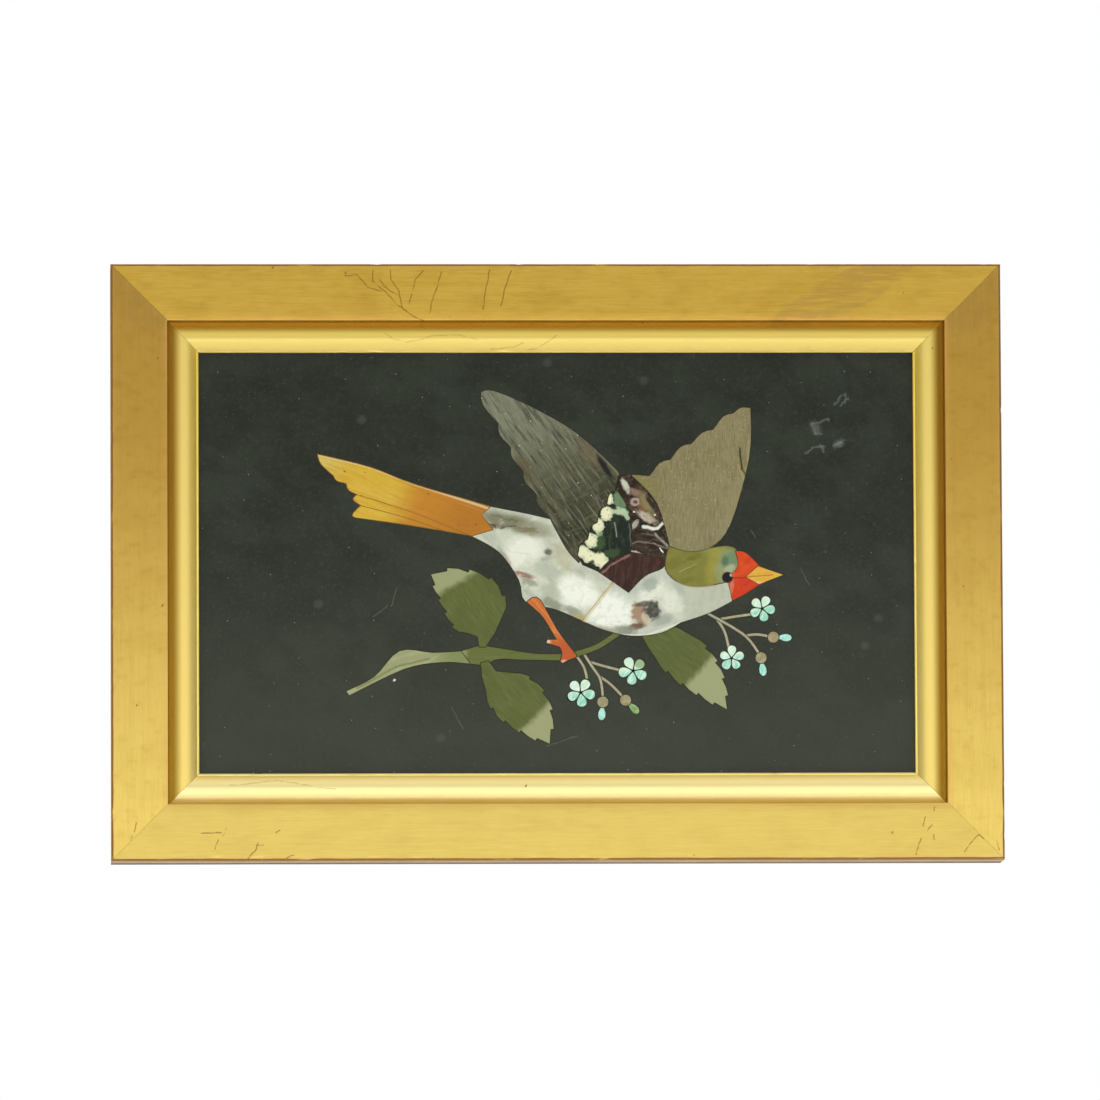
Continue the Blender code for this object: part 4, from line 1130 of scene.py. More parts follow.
    def crack_mask(self, sheet: NodeSheet, kit: MaskKit, place: Feed) -> bpy.types.NodeSocket | float:
        """The cracks, broken here and there."""
        stray = sheet.use(kit.stray, {"Place": place}).outputs
        course = sheet.vector("MULTIPLY_ADD", stray["Stray"], (1.1, 1.1, 0), stray["Flat"])
        mask = 0.0
        for crack in self.cracks:
            for start, end in zip(crack, crack[1:]):
                line = sheet.use(kit.line, {"Place": course, **line_values(start, end, 0.36)})
                mask = sheet.math("MAXIMUM", mask, line.outputs["Mask"])
        broken = self.streaks(sheet, kit, place, 2.2, 2.2, 0.32, 0.5, 7)
        return sheet.math("MULTIPLY", mask, broken)


@dataclass(frozen=True)
class WoodFinish:
    """Wood with a grain along each rail, stained in bands of depth from the wall."""

    name: str
    bands: tuple[tuple[float, Colour], ...]    # depth in millimetres where each colour begins
    grain: Colour
    roughness: float = 0.7

    def material(self, kit: MaskKit) -> bpy.types.Material:
        """Build the wood's material from the shared mask groups."""
        material, sheet, shader = new_material(self.name)
        tree = sheet.tree
        place = sheet.use(kit.picture, {}).outputs["Place"]
        run = sheet.use(kit.rails, {"Place": place}).outputs["Run"]
        stray = sheet.noise(run, 0.12).outputs[0]
        depth = sheet.math("ADD", sheet.add("ShaderNodeSeparateXYZ", {0: run}).outputs["Z"],
                           sheet.scaled(stray, -1.5, 1.5))
        colour = paint(self.bands[0][1])
        for begins, band in self.bands[1:]:
            colour = sheet.blend(sheet.step(depth, begins - 0.6, begins + 0.6), colour, paint(band))
        fibres = sheet.use(kit.streaks, {"Place": run, "Long": 26.0, "Fine": 0.5, "Low": 0.42,
                                         "High": 0.62}).outputs["Mask"]
        rings = sheet.use(kit.streaks, {"Place": run, "Long": 60.0, "Fine": 2.6, "Low": 0.44,
                                        "High": 0.56, "Seed": 2.0}).outputs["Mask"]
        colour = sheet.blend(sheet.math("MULTIPLY", fibres, 0.4), colour, paint(self.grain))
        colour = sheet.blend(sheet.math("MULTIPLY", rings, 0.35), colour, paint(self.grain))
        tree.links.new(colour, shader.inputs["Base Color"])
        tree.links.new(sheet.scaled(fibres, self.roughness, self.roughness + 0.15),
                       shader.inputs["Roughness"])
        bump = sheet.add("ShaderNodeBump", {"Height": fibres, "Strength": 0.6, "Distance": 0.0001})
        tree.links.new(bump.outputs[0], shader.inputs["Normal"])
        return material


TOP_CRACKS = (
    ((-65.9, 105.4), (-66.2, 101.4), (-62, 98), (-57.8, 93.5), (-51.4, 88.5), (-47.7, 87.2)),
    ((-59.6, 105.4), (-59.4, 101.9), (-56.7, 98), (-56.4, 95.6), (-54.9, 90.8)),
    ((-48, 105.1), (-50.7, 101.7), (-53, 93.5)),
    ((-41.4, 104.8), (-42.5, 100.3), (-45.1, 93.5), (-45.6, 89.8)),
    ((-24, 105.4), (-25.3, 99.3), (-26.4, 91.4)),
    ((-16.3, 105.1), (-18.2, 99.3), (-20, 92.4)),
    ((-76.2, 103.3), (-72, 103.8), (-67.8, 99.3), (-63, 97.6)),
    ((-63.6, 101.7), (-60.5, 98.3), (-57.2, 96.4)))
BOTTOM_CRACKS = (
    ((-128.2, -97.6), (-121.3, -97.6)), ((-122.1, -100), (-123.4, -103.4)),
    ((-119.2, -96), (-120.4, -98.6)),
    ((-108.1, -101.1), (-108.7, -103.4), (-111.8, -107.5)), ((-108.5, -102.1), (-106.2, -102.1)),
    ((-101.5, -97.6), (-100, -96.5)), ((-99.4, -107.3), (-95.1, -105.6)),
    ((145.9, -105.1), (147.8, -101.9), (151.1, -98.7), (152.9, -100.2)),
    ((132, -92.1), (130.8, -95.7)),
    ((135.1, -88.6), (135.1, -90)), ((134.1, -95.1), (132.7, -97.2)),
    ((134.8, -98.7), (135, -100.5)), ((130.2, -99.9), (128.4, -105.9)))
SLIP_CRACKS = (
    ((-62, 82.9), (-58.8, 80.8), (-54.1, 79.7), (-48.8, 80.3), (-45.1, 82), (-34.5, 82.1), (-28.7, 80.6)),
    ((-23.4, 77), (-15.5, 77.7), (-11.8, 79.3)), ((-10.3, 76.9), (-6.6, 77.4), (0.3, 81.9)),
    ((-118, -80.4), (-112, -79.9), (-106, -79.0), (-101, -78.7), (-96, -79.3), (-89, -80.6), (-80, -81.8)))
# Each gilding's paler leaf low on the frame is painted light.
SIDE_GILT = GiltFinish(
    "side_gilt", leaf=(196, 156, 70), low_leaf=(228, 200, 106), roughness=0.42,
    upright_roughness=0.28, grain=0.34, mottle=0.26, wear=0.9, crack=0.65, worn_edges=(11.4, 31.6),
    lap_zones=(((-146, 100), (15, 16)), ((147, 96), (13, 13))),
    cracks=(((157.4, -100.8), (158.3, -104.1)), ((-151.5, -94.0), (-152.5, -97.5), (-153.6, -100.4))))
# The top rail's leaf is paler than the sides' as painted light, for the light that its level brushing
# catches.
TOP_GILT = replace(SIDE_GILT, name="top_gilt", leaf=(212, 176, 77), grain=0.58, mottle=0.16,
                   cracks=TOP_CRACKS, lap_zones=(((96, 95), (26, 5)), ((112, 99), (20, 5))))
BOTTOM_GILT = replace(SIDE_GILT, name="bottom_gilt", low_leaf=(226, 200, 108),
                      grain=0.3, mottle=0.08, cracks=BOTTOM_CRACKS, lap_zones=())
# The slips carry painted light: their bands are painted highlights and shade on the roll, the top slip is a
# shaded copy and the bottom slip a lit copy of the side slips' gilding.
SIDE_SLIP_PAINTED_LIGHT = GiltFinish(
    "slip_gilt", leaf=(255, 225, 106), low_leaf=(255, 234, 138), roughness=0.36,
    upright_roughness=0.34, grain=0.15, mottle=0.1, wear=0.3, crack=0.3, cracks=SLIP_CRACKS,
    bands=((1.6, 4.2, (242, 214, 120)), (5.8, 8.8, (182, 151, 64)), (9.0, 10.6, (212, 187, 98))))
TOP_SLIP_PAINTED_LIGHT = replace(SIDE_SLIP_PAINTED_LIGHT, name="top_slip_gilt", leaf=(228, 204, 118), bands=(
    (1.2, 3.0, (223, 199, 112)), (4.9, 6.2, (250, 222, 114)), (6.6, 8.6, (190, 157, 70)),
    (9.0, 10.8, (206, 183, 100))))
LOW_SLIP_PAINTED_LIGHT = replace(SIDE_SLIP_PAINTED_LIGHT, name="low_slip_gilt", low_leaf=(255, 238, 150), mottle=0.16, bands=(
    (0.8, 1.8, (255, 228, 144)), (2.2, 3.8, (255, 238, 166)), (4.6, 5.6, (252, 233, 163)),
    (7.0, 8.0, (242, 220, 152)), (8.8, 10.0, (250, 236, 178))))
BARE_WOOD = WoodFinish("bare_wood", ((0.0, (176, 138, 92)),), (128, 92, 56))
STAINED_SIDE = WoodFinish("stained_side", ((0.0, (66, 48, 24)), (8.5, (186, 150, 92)),
                                           (18.6, (120, 84, 38))), (96, 70, 38), 0.55)


# Rails

def straight(start: Place, end: Place, pieces: int) -> Outline:
    """Points along a straight stretch of a section, without its last one."""
    (x1, y1), (x2, y2) = start, end
    return [(x1 + (x2 - x1) * step / pieces, y1 + (y2 - y1) * step / pieces)
            for step in range(pieces)]


def arc(centre: Place, radius: float, start: float, end: float, pieces: int) -> Outline:
    """Points along an arc of a section, with both its ends; angles in degrees."""
    turns = [math.radians(start + (end - start) * step / pieces) for step in range(pieces + 1)]
    return [(centre[0] + radius * math.cos(turn), centre[1] + radius * math.sin(turn)) for turn in turns]


def mitred_moulding_tree() -> bpy.types.NodeTree:
    """Geometry nodes that run a section along one side of the frame and mitre its ends."""
    sheet, given, result = new_group("mitred_moulding", "GeometryNodeTree", {
        "Section": (Socket.GEOMETRY, None), "Side Length": (Socket.NUMBER, 0.2),
        "Mitre Gap": (Socket.NUMBER, 0.0001), "Stations": (Socket.COUNT, 200),
        "Unevenness": (Socket.NUMBER, 0.00005), "Nick Depth": (Socket.NUMBER, 0.0002),
        "Seed": (Socket.NUMBER, 0.0), "Finish": (Socket.MATERIAL, None),
    }, {"Rail": Socket.GEOMETRY})
    half = sheet.math("MULTIPLY", given["Side Length"], 0.5)
    ends = [sheet.combine(X=reach)
            for reach in (sheet.math("MULTIPLY", half, -1), half)]
    line = sheet.add("GeometryNodeCurvePrimitiveLine", {"Start": ends[0], "End": ends[1]})
    stations = sheet.add("GeometryNodeResampleCurve", {"Curve": line.outputs[0],
                                                       "Count": given["Stations"]})
    section = sheet.add("GeometryNodeMeshToCurve", {"Mesh": given["Section"]})
    swept = sheet.add("GeometryNodeCurveToMesh", {"Curve": stations.outputs[0],
                                                  "Profile Curve": section.outputs[0],
                                                  "Fill Caps": True})
    position = sheet.add("GeometryNodeInputPosition").outputs[0]
    parts = sheet.add("ShaderNodeSeparateXYZ", {0: position}).outputs
    reach = sheet.math("SUBTRACT", sheet.math("ADD", half, parts["Y"]), given["Mitre Gap"])
    run = sheet.math("MULTIPLY", parts["X"], sheet.math("DIVIDE", reach, half))
    mitred = sheet.add("GeometryNodeSetPosition", {
        "Geometry": swept.outputs[0], "Position": sheet.combine(X=run, Y=parts["Y"], Z=parts["Z"])})
    seeded = sheet.vector("ADD", position, sheet.combine(X=given["Seed"]))
    swell = sheet.noise(seeded, 70.0, 2.0).outputs[0]
    chips = sheet.step(sheet.noise(seeded, 190.0, 3.0).outputs[0], 0.58, 0.72)
    arris = sheet.add("GeometryNodeInputNamedAttribute", {"Name": "arris"}, data_type="FLOAT").outputs[0]
    sink = sheet.math("ADD", sheet.math("MULTIPLY", swell, given["Unevenness"]),
                      sheet.math("MULTIPLY", sheet.math("MULTIPLY", chips, arris), given["Nick Depth"]))
    inward = sheet.vector("SCALE", sheet.add("GeometryNodeInputNormal").outputs[0])
    sheet.tree.links.new(sheet.math("MULTIPLY", sink, -1), inward.node.inputs["Scale"])
    worn = sheet.add("GeometryNodeSetPosition", {"Geometry": mitred.outputs[0], "Offset": inward})
    real = sheet.add("GeometryNodeRealizeInstances", {"Geometry": worn.outputs[0]})
    dressed = sheet.add("GeometryNodeSetMaterial", {"Geometry": real.outputs[0],
                                                    "Material": given["Finish"]})
    sheet.tree.links.new(dressed.outputs[0], result.inputs["Rail"])
    return sheet.tree


def run_tree(source: bpy.types.Object, tree: bpy.types.NodeTree, values: dict, name: str) -> bpy.types.Object:
    """Run a geometry tree on an object and keep the result as a plain mesh.

    Args:
        source: the object that gives the tree its geometry; it is removed afterwards.
        tree: the geometry node tree.
        values: the tree's inputs by name.
        name: the new object's name.

    Returns:
        The new object, at the origin.
    """
    modifier = source.modifiers.new(tree.name, "NODES")
    modifier.node_group = tree
    for item in tree.interface.items_tree:
        if item.item_type == "SOCKET" and item.in_out == "INPUT" and item.name in values:
            modifier[item.identifier] = values[item.name]
    source.update_tag()
    bpy.context.view_layer.update()
    graph = bpy.context.evaluated_depsgraph_get()
    mesh = bpy.data.meshes.new_from_object(source.evaluated_get(graph))
    source.modifiers.remove(modifier)
    bpy.data.objects.remove(source)
    mesh.name = name
    return new_object(name, mesh)


@dataclass
class Moulding(ABC):
    """Four mitred rails of one section, in metres."""

    plan: PanelPlan
    finishes: dict[Side, bpy.types.Material]
    wood: bpy.types.Material
    name: str
    node: str
    slot: str
    station_pitch: float = 0.0012
    mitre_gap: float = 0.00001
    unevenness: float = 0.00008
    nick_depth: float = 0.0003
    slip_width: float = 0.0112    # slip that shows inside an outer rail

    @abstractmethod
    def section(self) -> tuple[Outline, list[int]]:
        """The section, anticlockwise as distance out and depth, and the points on its arrises."""

    @abstractmethod
    def is_gilt(self, centre: Vector, normal: Vector) -> bool:
        """Whether a face is gilt, from its centre and normal as run, distance out and depth."""

    def section_object(self) -> bpy.types.Object:
        """The section as a closed wire that carries the arris attribute."""
        outline, arrises = self.section()
        mesh = bpy.data.meshes.new("section")
        count = len(outline)
        mesh.from_pydata([(-out, -depth, 0) for out, depth in outline],
                         [(index, (index + 1) % count) for index in range(count)], [])
        worn = mesh.attributes.new("arris", "FLOAT", "POINT")
        for index in arrises:
            worn.data[index].value = 1.0
        return new_object("section", mesh)

    def build(self, tree: bpy.types.NodeTree) -> list[bpy.types.Object]:
        """Make, place and dress the four rails.

        Args:
            tree: the mitred_moulding geometry tree.

        Returns:
            The four rails.
        """
        rails = []
        for side in Side:
            length = self.plan.sight_height if side.upright else self.plan.sight_width
            label = side.name.lower()
            rail = run_tree(self.section_object(), tree, {
                "Side Length": length, "Mitre Gap": self.mitre_gap,
                "Stations": round(length / self.station_pitch),
                "Unevenness": self.unevenness, "Nick Depth": self.nick_depth,
                "Seed": float(side.value), "Finish": self.finishes[side]}, f"{self.name}_{label}")
            self.dress(rail)
            rail.data.transform(self.plan.to_world(side))
            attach(rail, ROOT)
            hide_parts(f"{self.node}_{label}")
            LOG.info("%s: %d faces", rail.name, len(rail.data.polygons))
            rails.append(rail)
        return rails

    def dress(self, rail: bpy.types.Object) -> None:
        """Give the faces that aren't gilt their own wood, and shade the rounded edges smooth."""
        mesh = rail.data
        mesh.materials.append(self.wood)
        for face in mesh.polygons:
            face.material_index = 0 if self.is_gilt(face.center, face.normal) else 1
        mesh.shade_smooth()
        mesh.set_sharp_from_angle(angle=math.radians(SHARP_ANGLE))


@dataclass
class OuterMoulding(Moulding):
    """The flat outer rail, with a rebate behind."""

    side_wood: bpy.types.Material | None = None
    face_width: float = 0.0205
    depth: float = 0.022
    lip: float = 0.004
    lap: float = 0.0055
    arris_radius: float = 0.0007
    fade: float = 0.0003          # how far the wear of the arris reaches onto the face
    face_pieces: int = 14

    def section(self) -> tuple[Outline, list[int]]:
        """A flat face between two rounded arrises."""
        outer = self.slip_width + self.face_width
        rebate = self.slip_width + self.lap
        seat = self.depth - self.lip
        radius = self.arris_radius
        outline = [(rebate, 0.0)] + straight((rebate + 0.001, 0), (outer, 0), 3)
        outline += straight((outer, 0), (outer, self.depth - 2 * radius), 5)
        first = len(outline)
        outline += arc((outer - radius, self.depth - radius), radius, 0, 90, 5)
        arrises = list(range(first, len(outline)))
        outline += straight((outer - radius - self.fade, self.depth),
                            (self.slip_width + radius, self.depth), self.face_pieces)
        soft = radius / 2
        outline.pop()
        outline += arc((self.slip_width + soft, self.depth - soft), soft, 90, 180, 5)
        outline += [(self.slip_width, seat), (rebate, seat)]
        return outline, arrises

    def is_gilt(self, centre: Vector, normal: Vector) -> bool:
        """The face, its arrises and the step down to the slip are gilt."""
        return centre.z > self.depth - self.lip + 0.0002 and normal.y < 0.9

    def dress(self, rail: bpy.types.Object) -> None:
        """As other mouldings, with the outer side in its own stain."""
        super().dress(rail)
        rail.data.materials.append(self.side_wood)
        outer = self.slip_width + self.face_width
        for face in rail.data.polygons:
            if face.normal.y > 0.9 and face.center.y > outer - 0.0004:
                face.material_index = 2


@dataclass
class SlipMoulding(Moulding):
    """The rounded inner rail that holds the slab."""

    edge: float = 0.0164          # outer edge, hidden under the outer rail
    crest: float = 0.0054         # distance out and level of the roll's crest
    crest_level: float = 0.0193
    lip_width: float = 0.0008
    lip_thickness: float = 0.0016
    lip_drop: float = 0.0008
    lap: float = 0.005
    level: float = 0.0177
    edge_radius: float = 0.0003
    roll_pieces: int = 30

    def section(self) -> tuple[Outline, list[int]]:
        """From the lip over the marble, up the roll and down to the outer rail."""
        top = self.level - self.lip_drop
        under = top - self.lip_thickness
        radius = self.edge_radius
        outline = [(self.lap, under), (self.lap, self.plan.slab_back), (self.edge, self.plan.slab_back),
                   (self.edge, self.level), (self.slip_width + 0.0002, self.level)]
        half = self.roll_pieces // 2
        slopes = ((self.slip_width, self.level), (self.lip_width, top))
        for (foot, level), steps in zip(slopes, (range(half, 0, -1), range(half + 1))):
            for step in steps:
                share = step / half
                outline.append((self.crest + (foot - self.crest) * share,
                                self.crest_level - (self.crest_level - level) * share ** 2))
        first = len(outline)
        outline += arc((radius, top - radius), radius, 90, 180, 4)
        arrises = list(range(first, len(outline)))
        outline.append((0.0, under))
        return outline, arrises

    def is_gilt(self, centre: Vector, normal: Vector) -> bool:
        """Everything that shows in front is gilt; the back and the rebate are bare."""
        return normal.z > 0.05 or (centre.y < self.lip_width and normal.z > -0.5)


# Petals

@dataclass
class Blossom:
    """A flower of five drop-shaped petals, set in the recess of its CAD solid. Lengths in metres."""

    number: int
    place: Place                  # its middle, in millimetres of the picture's plane
    reach: float
    turn: float                   # of its first petal, in degrees
    finish: bpy.types.Material
    petals: int = 5
    fullness: float = 0.44        # half a petal's width, as a share of the reach
    thickness: float = 0.0021

    def build(self, tree: bpy.types.NodeTree, plan: PanelPlan) -> bpy.types.Object:
        """Make, place and dress the flower.

        Args:
            tree: the petal_ring geometry tree.
            plan: the panel's main lines.

        Returns:
            The flower, one mesh of five closed petals.
        """
        flower = run_tree(new_object("ring", bpy.data.meshes.new("ring")), tree, {
            "Petals": self.petals, "Reach": self.reach, "Fullness": self.fullness,
            "Thickness": self.thickness, "Seed": self.number, "Finish": self.finish,
        }, f"petals_{self.number}")
        middle = Vector((self.place[0] / MM, -plan.slab_face, self.place[1] / MM + plan.middle))
        flower.data.transform(Matrix.Translation(middle) @ Matrix.Rotation(math.pi / 2, 4, "X")
                              @ Matrix.Rotation(math.radians(self.turn), 4, "Z"))
        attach(flower, ROOT)
        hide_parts(f"flower_{self.number}")
        LOG.info("%s: %d faces", flower.name, len(flower.data.polygons))
        return flower


def petal_ring_tree() -> bpy.types.NodeTree:
    """Geometry nodes that draw one petal, give it thickness and set copies around a middle."""
    sheet, given, result = new_group("petal_ring", "GeometryNodeTree", {
        "Base": (Socket.GEOMETRY, None), "Petals": (Socket.COUNT, 5), "Reach": (Socket.NUMBER, 0.005),
        "Fullness": (Socket.NUMBER, 0.3), "Thickness": (Socket.NUMBER, 0.002),
        "Seed": (Socket.COUNT, 0), "Finish": (Socket.MATERIAL, None),
    }, {"Flower": Socket.GEOMETRY})
    ring = sheet.add("GeometryNodeMeshCircle", {"Vertices": 32, "Radius": 1.0}, fill_type="NGON")
    parts = sheet.add("ShaderNodeSeparateXYZ",
                      {0: sheet.add("GeometryNodeInputPosition").outputs[0]}).outputs
    along = sheet.math("MULTIPLY", given["Reach"],
                       sheet.math("ADD", 0.56, sheet.math("MULTIPLY", parts["X"], 0.46)))
    outward = sheet.math("ADD", sheet.math("MULTIPLY", parts["X"], 0.5), 0.5, clamp=True)
    swell = sheet.math("MULTIPLY", sheet.math("POWER", outward, 0.5), given["Fullness"])
    across = sheet.math("MULTIPLY", sheet.math("MULTIPLY", swell, parts["Y"]), given["Reach"])
    petal = sheet.add("GeometryNodeSetPosition", {"Geometry": ring.outputs[0],
                                                  "Position": sheet.combine(X=along, Y=across)})
    down = sheet.combine(Z=sheet.math("MULTIPLY", given["Thickness"], -1))
    walls = sheet.add("GeometryNodeExtrudeMesh", {"Mesh": petal.outputs[0], "Offset": down,
                                                  "Offset Scale": 1.0, "Individual": False})
    joined = sheet.add("GeometryNodeJoinGeometry")
    sheet.tree.links.new(walls.outputs["Mesh"], joined.inputs[0])
    sheet.tree.links.new(petal.outputs[0], joined.inputs[0])
    closed = sheet.add("GeometryNodeMergeByDistance", {"Geometry": joined.outputs[0],
                                                       "Distance": MERGE_DISTANCE})
    hub = sheet.add("GeometryNodePoints", {"Count": given["Petals"]})
    index = sheet.add("GeometryNodeInputIndex").outputs[0]
    turn = sheet.math("DIVIDE", sheet.math("MULTIPLY", index, 2 * math.pi), given["Petals"])
    size = sheet.add("FunctionNodeRandomValue", {"Seed": given["Seed"]}, data_type="FLOAT")
    size.inputs[2].default_value = 0.9
    size.inputs[3].default_value = 1.0
    set_out = sheet.add("GeometryNodeInstanceOnPoints", {
        "Points": hub.outputs[0], "Instance": closed.outputs[0],
        "Rotation": sheet.combine(Z=turn),
        "Scale": sheet.combine(X=size.outputs[1], Y=size.outputs[1], Z=1.0)})
    real = sheet.add("GeometryNodeRealizeInstances", {"Geometry": set_out.outputs[0]})
    dressed = sheet.add("GeometryNodeSetMaterial", {"Geometry": real.outputs[0],
                                                    "Material": given["Finish"]})
    sheet.tree.links.new(dressed.outputs[0], result.inputs["Flower"])
    return sheet.tree


def petal_finish(number: int, place: Place) -> StoneFinish:
    """Mother-of-pearl petals, creamy above the flower's middle and turquoise below it."""
    x, y = place
    layers = [Beyond(PETAL_DEEP, 0.95, (x, y), -76, 1.2, 1.2),
              Streaks((236, 250, 238), 0.6, 65, 2.4, 0.9, 0.46, 0.64),
              Streaks((150, 214, 186), 0.35, 40, 1.6, 0.6, 0.52, 0.7)]
    if number == 2:
        layers.append(Patch((150, 182, 132), 0.95, (x + 2.6, y + 3.2), (2.4, 2.2), 40, 0.15, 0.2))
    return StoneFinish(f"petal_stone_{number}", PETAL_LIGHT, tuple(layers), 0.2)


# Joints

@dataclass
class JointWax:
    """Dark wax in the joints between the stones and the marble."""

    plan: PanelPlan
    below_face: float = 0.00007
    thickness: float = 0.0003
    margin: float = 0.002

    def build(self, nodes: dict[str, bpy.types.Object], finish: bpy.types.Material) -> bpy.types.Object:
        """Fill the joints.

        Args:
            nodes: the CAD nodes by name.
            finish: the wax.

        Returns:
            The wax, one mesh.
        """
        slab = nodes["ground_slab"]
        stones = [node for name, node in nodes.items()
                  if name != "ground_slab" and "_rail_" not in name]
        corners = [vertex.co for stone in stones for vertex in stone.data.vertices]
        low = Vector((min(c.x for c in corners), 0, min(c.z for c in corners)))
        high = Vector((max(c.x for c in corners), 0, max(c.z for c in corners)))
        front = -self.plan.slab_face + self.below_face
        shell = bmesh.new()
        bmesh.ops.create_cube(shell, size=1)
        for vertex in shell.verts:
            vertex.co = Vector((
                (high.x if vertex.co.x > 0 else low.x) + math.copysign(self.margin, vertex.co.x),
                front + (self.thickness if vertex.co.y > 0 else 0),
                (high.z if vertex.co.z > 0 else low.z) + math.copysign(self.margin, vertex.co.z)))
        mesh = bpy.data.meshes.new("joint_wax")
        shell.to_mesh(mesh)
        shell.free()
        wax = new_object("joint_wax", mesh)
        cutters = [self.merged(stone) for stone in (slab, *stones)]
        for cutter in cutters:
            cut = wax.modifiers.new(cutter.name, "BOOLEAN")
            cut.operation = "DIFFERENCE"
            cut.solver = "EXACT"
            cut.object = cutter
        graph = bpy.context.evaluated_depsgraph_get()
        filled = bpy.data.meshes.new_from_object(wax.evaluated_get(graph))
        wax.modifiers.clear()
        wax.data = filled
        for cutter in cutters:
            bpy.data.objects.remove(cutter)
        filled.materials.clear()
        filled.materials.append(finish)
        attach(wax, ROOT)
        LOG.info("joint_wax: %d faces", len(filled.polygons))
        return wax

    @staticmethod
    def merged(node: bpy.types.Object) -> bpy.types.Object:
        """A copy of a CAD node whose triangles are joined."""
        shell = bmesh.new()
        shell.from_mesh(node.data)
        bmesh.ops.remove_doubles(shell, verts=shell.verts, dist=MERGE_DISTANCE)
        mesh = bpy.data.meshes.new("cutter_" + node.name)
        shell.to_mesh(mesh)
        shell.free()
        return new_object("cutter_" + node.name, mesh)


# Light, floor and camera

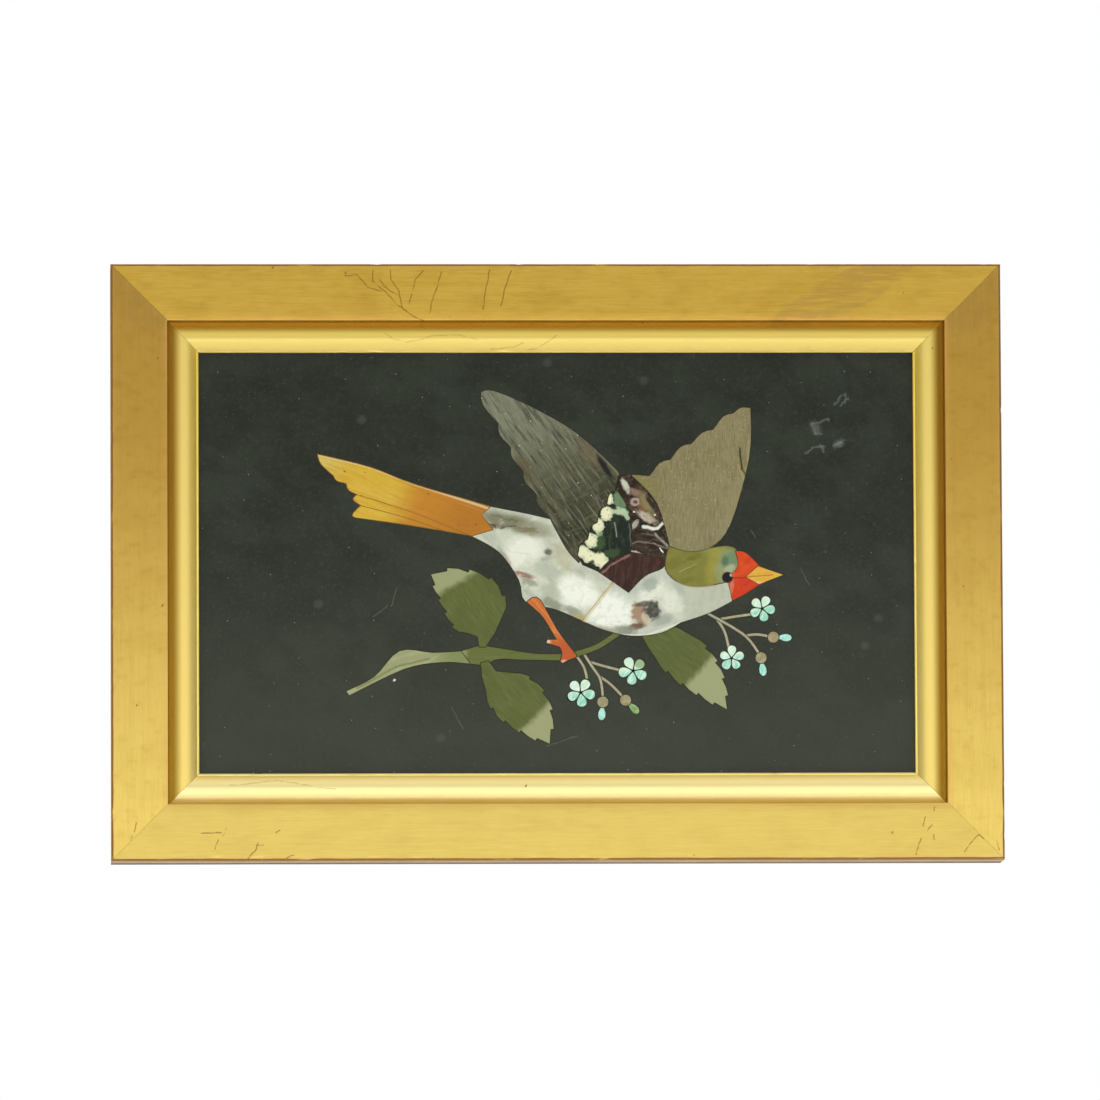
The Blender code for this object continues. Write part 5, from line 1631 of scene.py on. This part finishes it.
@dataclass(frozen=True)
class Studio:
    """A pale floor far below the hanging panel, soft light and the photograph's camera."""

    floor_height: float = -0.62
    floor_size: float = 60.0
    distance: float = 4.5
    azimuth: float = -2.5         # degrees; the camera stands a little to the left
    elevation: float = -5.0       # and a little below, so that the underside shows as a strip
    roll: float = 0.273
    field_of_view: float = 5.04
    off_centre: Place = (6.56, -13.1)   # of the panel's middle in the picture, in its pixels
    picture_size: int = 1100
    sky: float = 0.92             # brightness overhead, at the back, and at the front horizon
    sky_back: float = 1.0
    horizon: float = 0.58
    side_dimming: float = 0.5
    card_power: float = 2.5

    def build(self, plan: PanelPlan) -> None:
        """Make the floor, the lights, the sky and the camera."""
        self.build_floor()
        self.build_sky()
        middle = Vector((0, -plan.slab_face, plan.middle))
        self.lamp("ceiling", (0, 1.3, 2.2), Vector((0, -1.0, self.floor_height)), (4.0, 2.0), 90)
        self.lamp("front_card", (0, -1.0, -0.27), Vector((0, 0, -0.27)), (2.4, 0.5), self.card_power)
        self.build_camera(middle)
        bpy.context.scene.view_settings.view_transform = "Standard"

    def build_floor(self) -> None:
        """A plain pale floor with a faint unevenness."""
        bpy.ops.mesh.primitive_plane_add(size=self.floor_size, location=(0, 0, self.floor_height))
        floor = bpy.context.active_object
        floor.name = "floor"
        material, sheet, shader = new_material("pale_floor")
        place = sheet.add("ShaderNodeTexCoord").outputs["Object"]
        clouds = sheet.noise(place, 3.0).outputs[0]
        colour = sheet.blend(clouds, (0.86, 0.86, 0.85, 1), (0.9, 0.9, 0.89, 1))
        material.node_tree.links.new(colour, shader.inputs["Base Color"])
        shader.inputs["Roughness"].default_value = 0.8
        floor.data.materials.append(material)

    def build_sky(self) -> None:
        """Soft light from all round, brightest behind and dimmest low in front, and white to the eye."""
        world = bpy.data.worlds.new("sky")
        bpy.context.scene.world = world
        world.use_nodes = True
        tree = world.node_tree
        sheet = NodeSheet(tree)
        direction = sheet.add("ShaderNodeTexCoord").outputs["Generated"]
        parts = sheet.add("ShaderNodeSeparateXYZ", {0: direction}).outputs
        behind = sheet.step(parts["Y"], -0.2, 0.4)
        high = sheet.step(parts["Z"], 0.2, 0.75)
        beside = sheet.step(sheet.math("ABSOLUTE", parts["X"]), 0.45, 0.85)
        front = sheet.math("MULTIPLY", sheet.scaled(high, self.horizon, self.sky),
                           sheet.scaled(beside, 1, 1 - self.side_dimming))
        level = sheet.add("ShaderNodeMapRange", {"Value": behind, "To Min": front,
                                                 "To Max": self.sky_back}).outputs[0]
        light = tree.nodes["Background"]
        tree.links.new(level, light.inputs["Strength"])
        light.inputs["Color"].default_value = (1, 1, 1, 1)
        white = sheet.add("ShaderNodeBackground", {"Color": (1, 1, 1, 1), "Strength": 1.0})
        seen = sheet.add("ShaderNodeLightPath").outputs["Is Camera Ray"]
        mixed = sheet.add("ShaderNodeMixShader", {0: seen, 1: light.outputs[0], 2: white.outputs[0]})
        tree.links.new(mixed.outputs[0], tree.nodes["World Output"].inputs["Surface"])

    @staticmethod
    def lamp(name: str, place: tuple[float, float, float], target: Vector,
             size: tuple[float, float], power: float) -> None:
        """A soft rectangular lamp that the camera doesn't see.

        Args:
            name: the lamp's name.
            place: where it stands, in metres.
            target: what it points at.
            size: its width and height in metres.
            power: its power in watts.
        """
        light = bpy.data.lights.new(name, "AREA")
        light.shape = "RECTANGLE"
        light.size, light.size_y = size
        light.energy = power
        lamp = new_object(name, light)
        lamp.location = place
        lamp.rotation_euler = (target - Vector(place)).to_track_quat("-Z", "Y").to_euler()
        lamp.visible_camera = False

    def build_camera(self, middle: Vector) -> None:
        """The camera, turned so that the panel's middle stands where the photograph has it."""
        around, above = math.radians(self.azimuth), math.radians(self.elevation)
        back = Vector((math.sin(around) * math.cos(above), -math.cos(around) * math.cos(above),
                       math.sin(above)))
        place = middle + back * self.distance
        half_view = math.radians(self.field_of_view) / 2
        pixel = 2 * self.distance * math.tan(half_view) / self.picture_size
        facing = (-back).to_track_quat("-Z", "Y")
        aim = middle - facing @ Vector((self.off_centre[0] * pixel, self.off_centre[1] * pixel, 0))
        data = bpy.data.cameras.new("camera")
        data.sensor_width = 36
        data.lens = data.sensor_width / 2 / math.tan(half_view)
        data.clip_end = 200
        camera = new_object("camera", data)
        camera.location = place
        turn = (aim - place).to_track_quat("-Z", "Y").to_matrix().to_4x4()
        turn = turn @ Matrix.Rotation(-math.radians(self.roll), 4, "Z")
        camera.rotation_euler = turn.to_euler()
        bpy.context.scene.camera = camera


# The panel

@dataclass
class InlaidPanel:
    """The whole panel, dressed."""

    nodes: dict[str, bpy.types.Object]
    plan: PanelPlan

    def build(self) -> None:
        """Dress the stones and the slab, and make the rails, the petals and the wax."""
        kit = MaskKit(self.plan)
        made: dict[str, bpy.types.Material] = {}
        finishes = {**stone_finishes(), "ground_slab": marble_finish()}
        for node, finish in finishes.items():
            if finish.name not in made:
                made[finish.name] = finish.material(kit, self.plan)
            self.dress(self.nodes[node], made[finish.name])
            LOG.info("%s: %s", node, finish.name)
        self.build_frame(kit)
        self.build_flowers(kit)
        wax = StoneFinish("joint_wax", (52, 48, 38), (
            Streaks((74, 62, 42), 0.6, 0, 3, 2, 0.42, 0.62),
            Patch((104, 92, 58), 0.9, (52, 1), (12, 8), 0, 0.2, 0.3),
            Patch((160, 60, 34), 0.9, (68.5, -5.4), (7, 8), 0, 0.2, 0.3),
            Patch((150, 150, 118), 0.9, (52, -9.6), (11, 2.4), -8, 0.2, 0.3),
            Patch((164, 118, 50), 0.9, (-58, 27), (36, 14), TAIL_TURN, 0.2, 0.3),
            Patch((196, 166, 92), 0.95, (15.0, -14.2), (1.8, 9.0), -38, 0.2, 0.3)), 0.5)
        JointWax(self.plan).build(self.nodes, wax.material(kit, self.plan))

    @staticmethod
    def dress(node: bpy.types.Object, material: bpy.types.Material) -> None:
        """Put a material on a CAD node in place of its plain one."""
        for slot in node.material_slots:
            slot.material = material

    def build_frame(self, kit: MaskKit) -> None:
        """Make the outer rails and the slips."""
        tree = mitred_moulding_tree()
        wood, side = BARE_WOOD.material(kit), STAINED_SIDE.material(kit)
        sides = SIDE_GILT.material(kit)
        slip_sides = SIDE_SLIP_PAINTED_LIGHT.material(kit)
        # Painted light: the top slip takes a shaded copy of the gilding and the bottom slip a lit copy.
        slips = {Side.TOP: TOP_SLIP_PAINTED_LIGHT.material(kit), Side.BOTTOM: LOW_SLIP_PAINTED_LIGHT.material(kit),
                 Side.LEFT: slip_sides, Side.RIGHT: slip_sides}
        outer = {Side.TOP: TOP_GILT.material(kit), Side.BOTTOM: BOTTOM_GILT.material(kit),
                 Side.LEFT: sides, Side.RIGHT: sides}
        OuterMoulding(self.plan, outer, wood, "gilt_rail", "frame_rail", "gilt_face",
                      side_wood=side).build(tree)
        SlipMoulding(self.plan, slips, wood, "gilt_slip", "slip_rail", "gilt_slip",
                     mitre_gap=0.00004, unevenness=0.00004, nick_depth=0.0002).build(tree)

    def build_flowers(self, kit: MaskKit) -> None:
        """Make the four flowers."""
        tree = petal_ring_tree()
        flowers = (((8.45, -46.73), 0.0053, 60), ((27.41, -38.91), 0.0053, 45),
                   ((74.04, -16.49), 0.0046, 65), ((62.90, -34.43), 0.0046, 88))
        for number, (place, reach, turn) in enumerate(flowers, start=1):
            finish = petal_finish(number, place).material(kit, self.plan)
            Blossom(number, place, reach, turn, finish).build(tree, self.plan)


def main() -> None:
    """Load the frame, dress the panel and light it."""
    logging.basicConfig(level=logging.INFO, format="%(message)s")
    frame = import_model()
    plan = PanelPlan.from_frame()
    InlaidPanel(frame["nodes"], plan).build()
    Studio().build(plan)


if __name__ == "__main__":
    main()
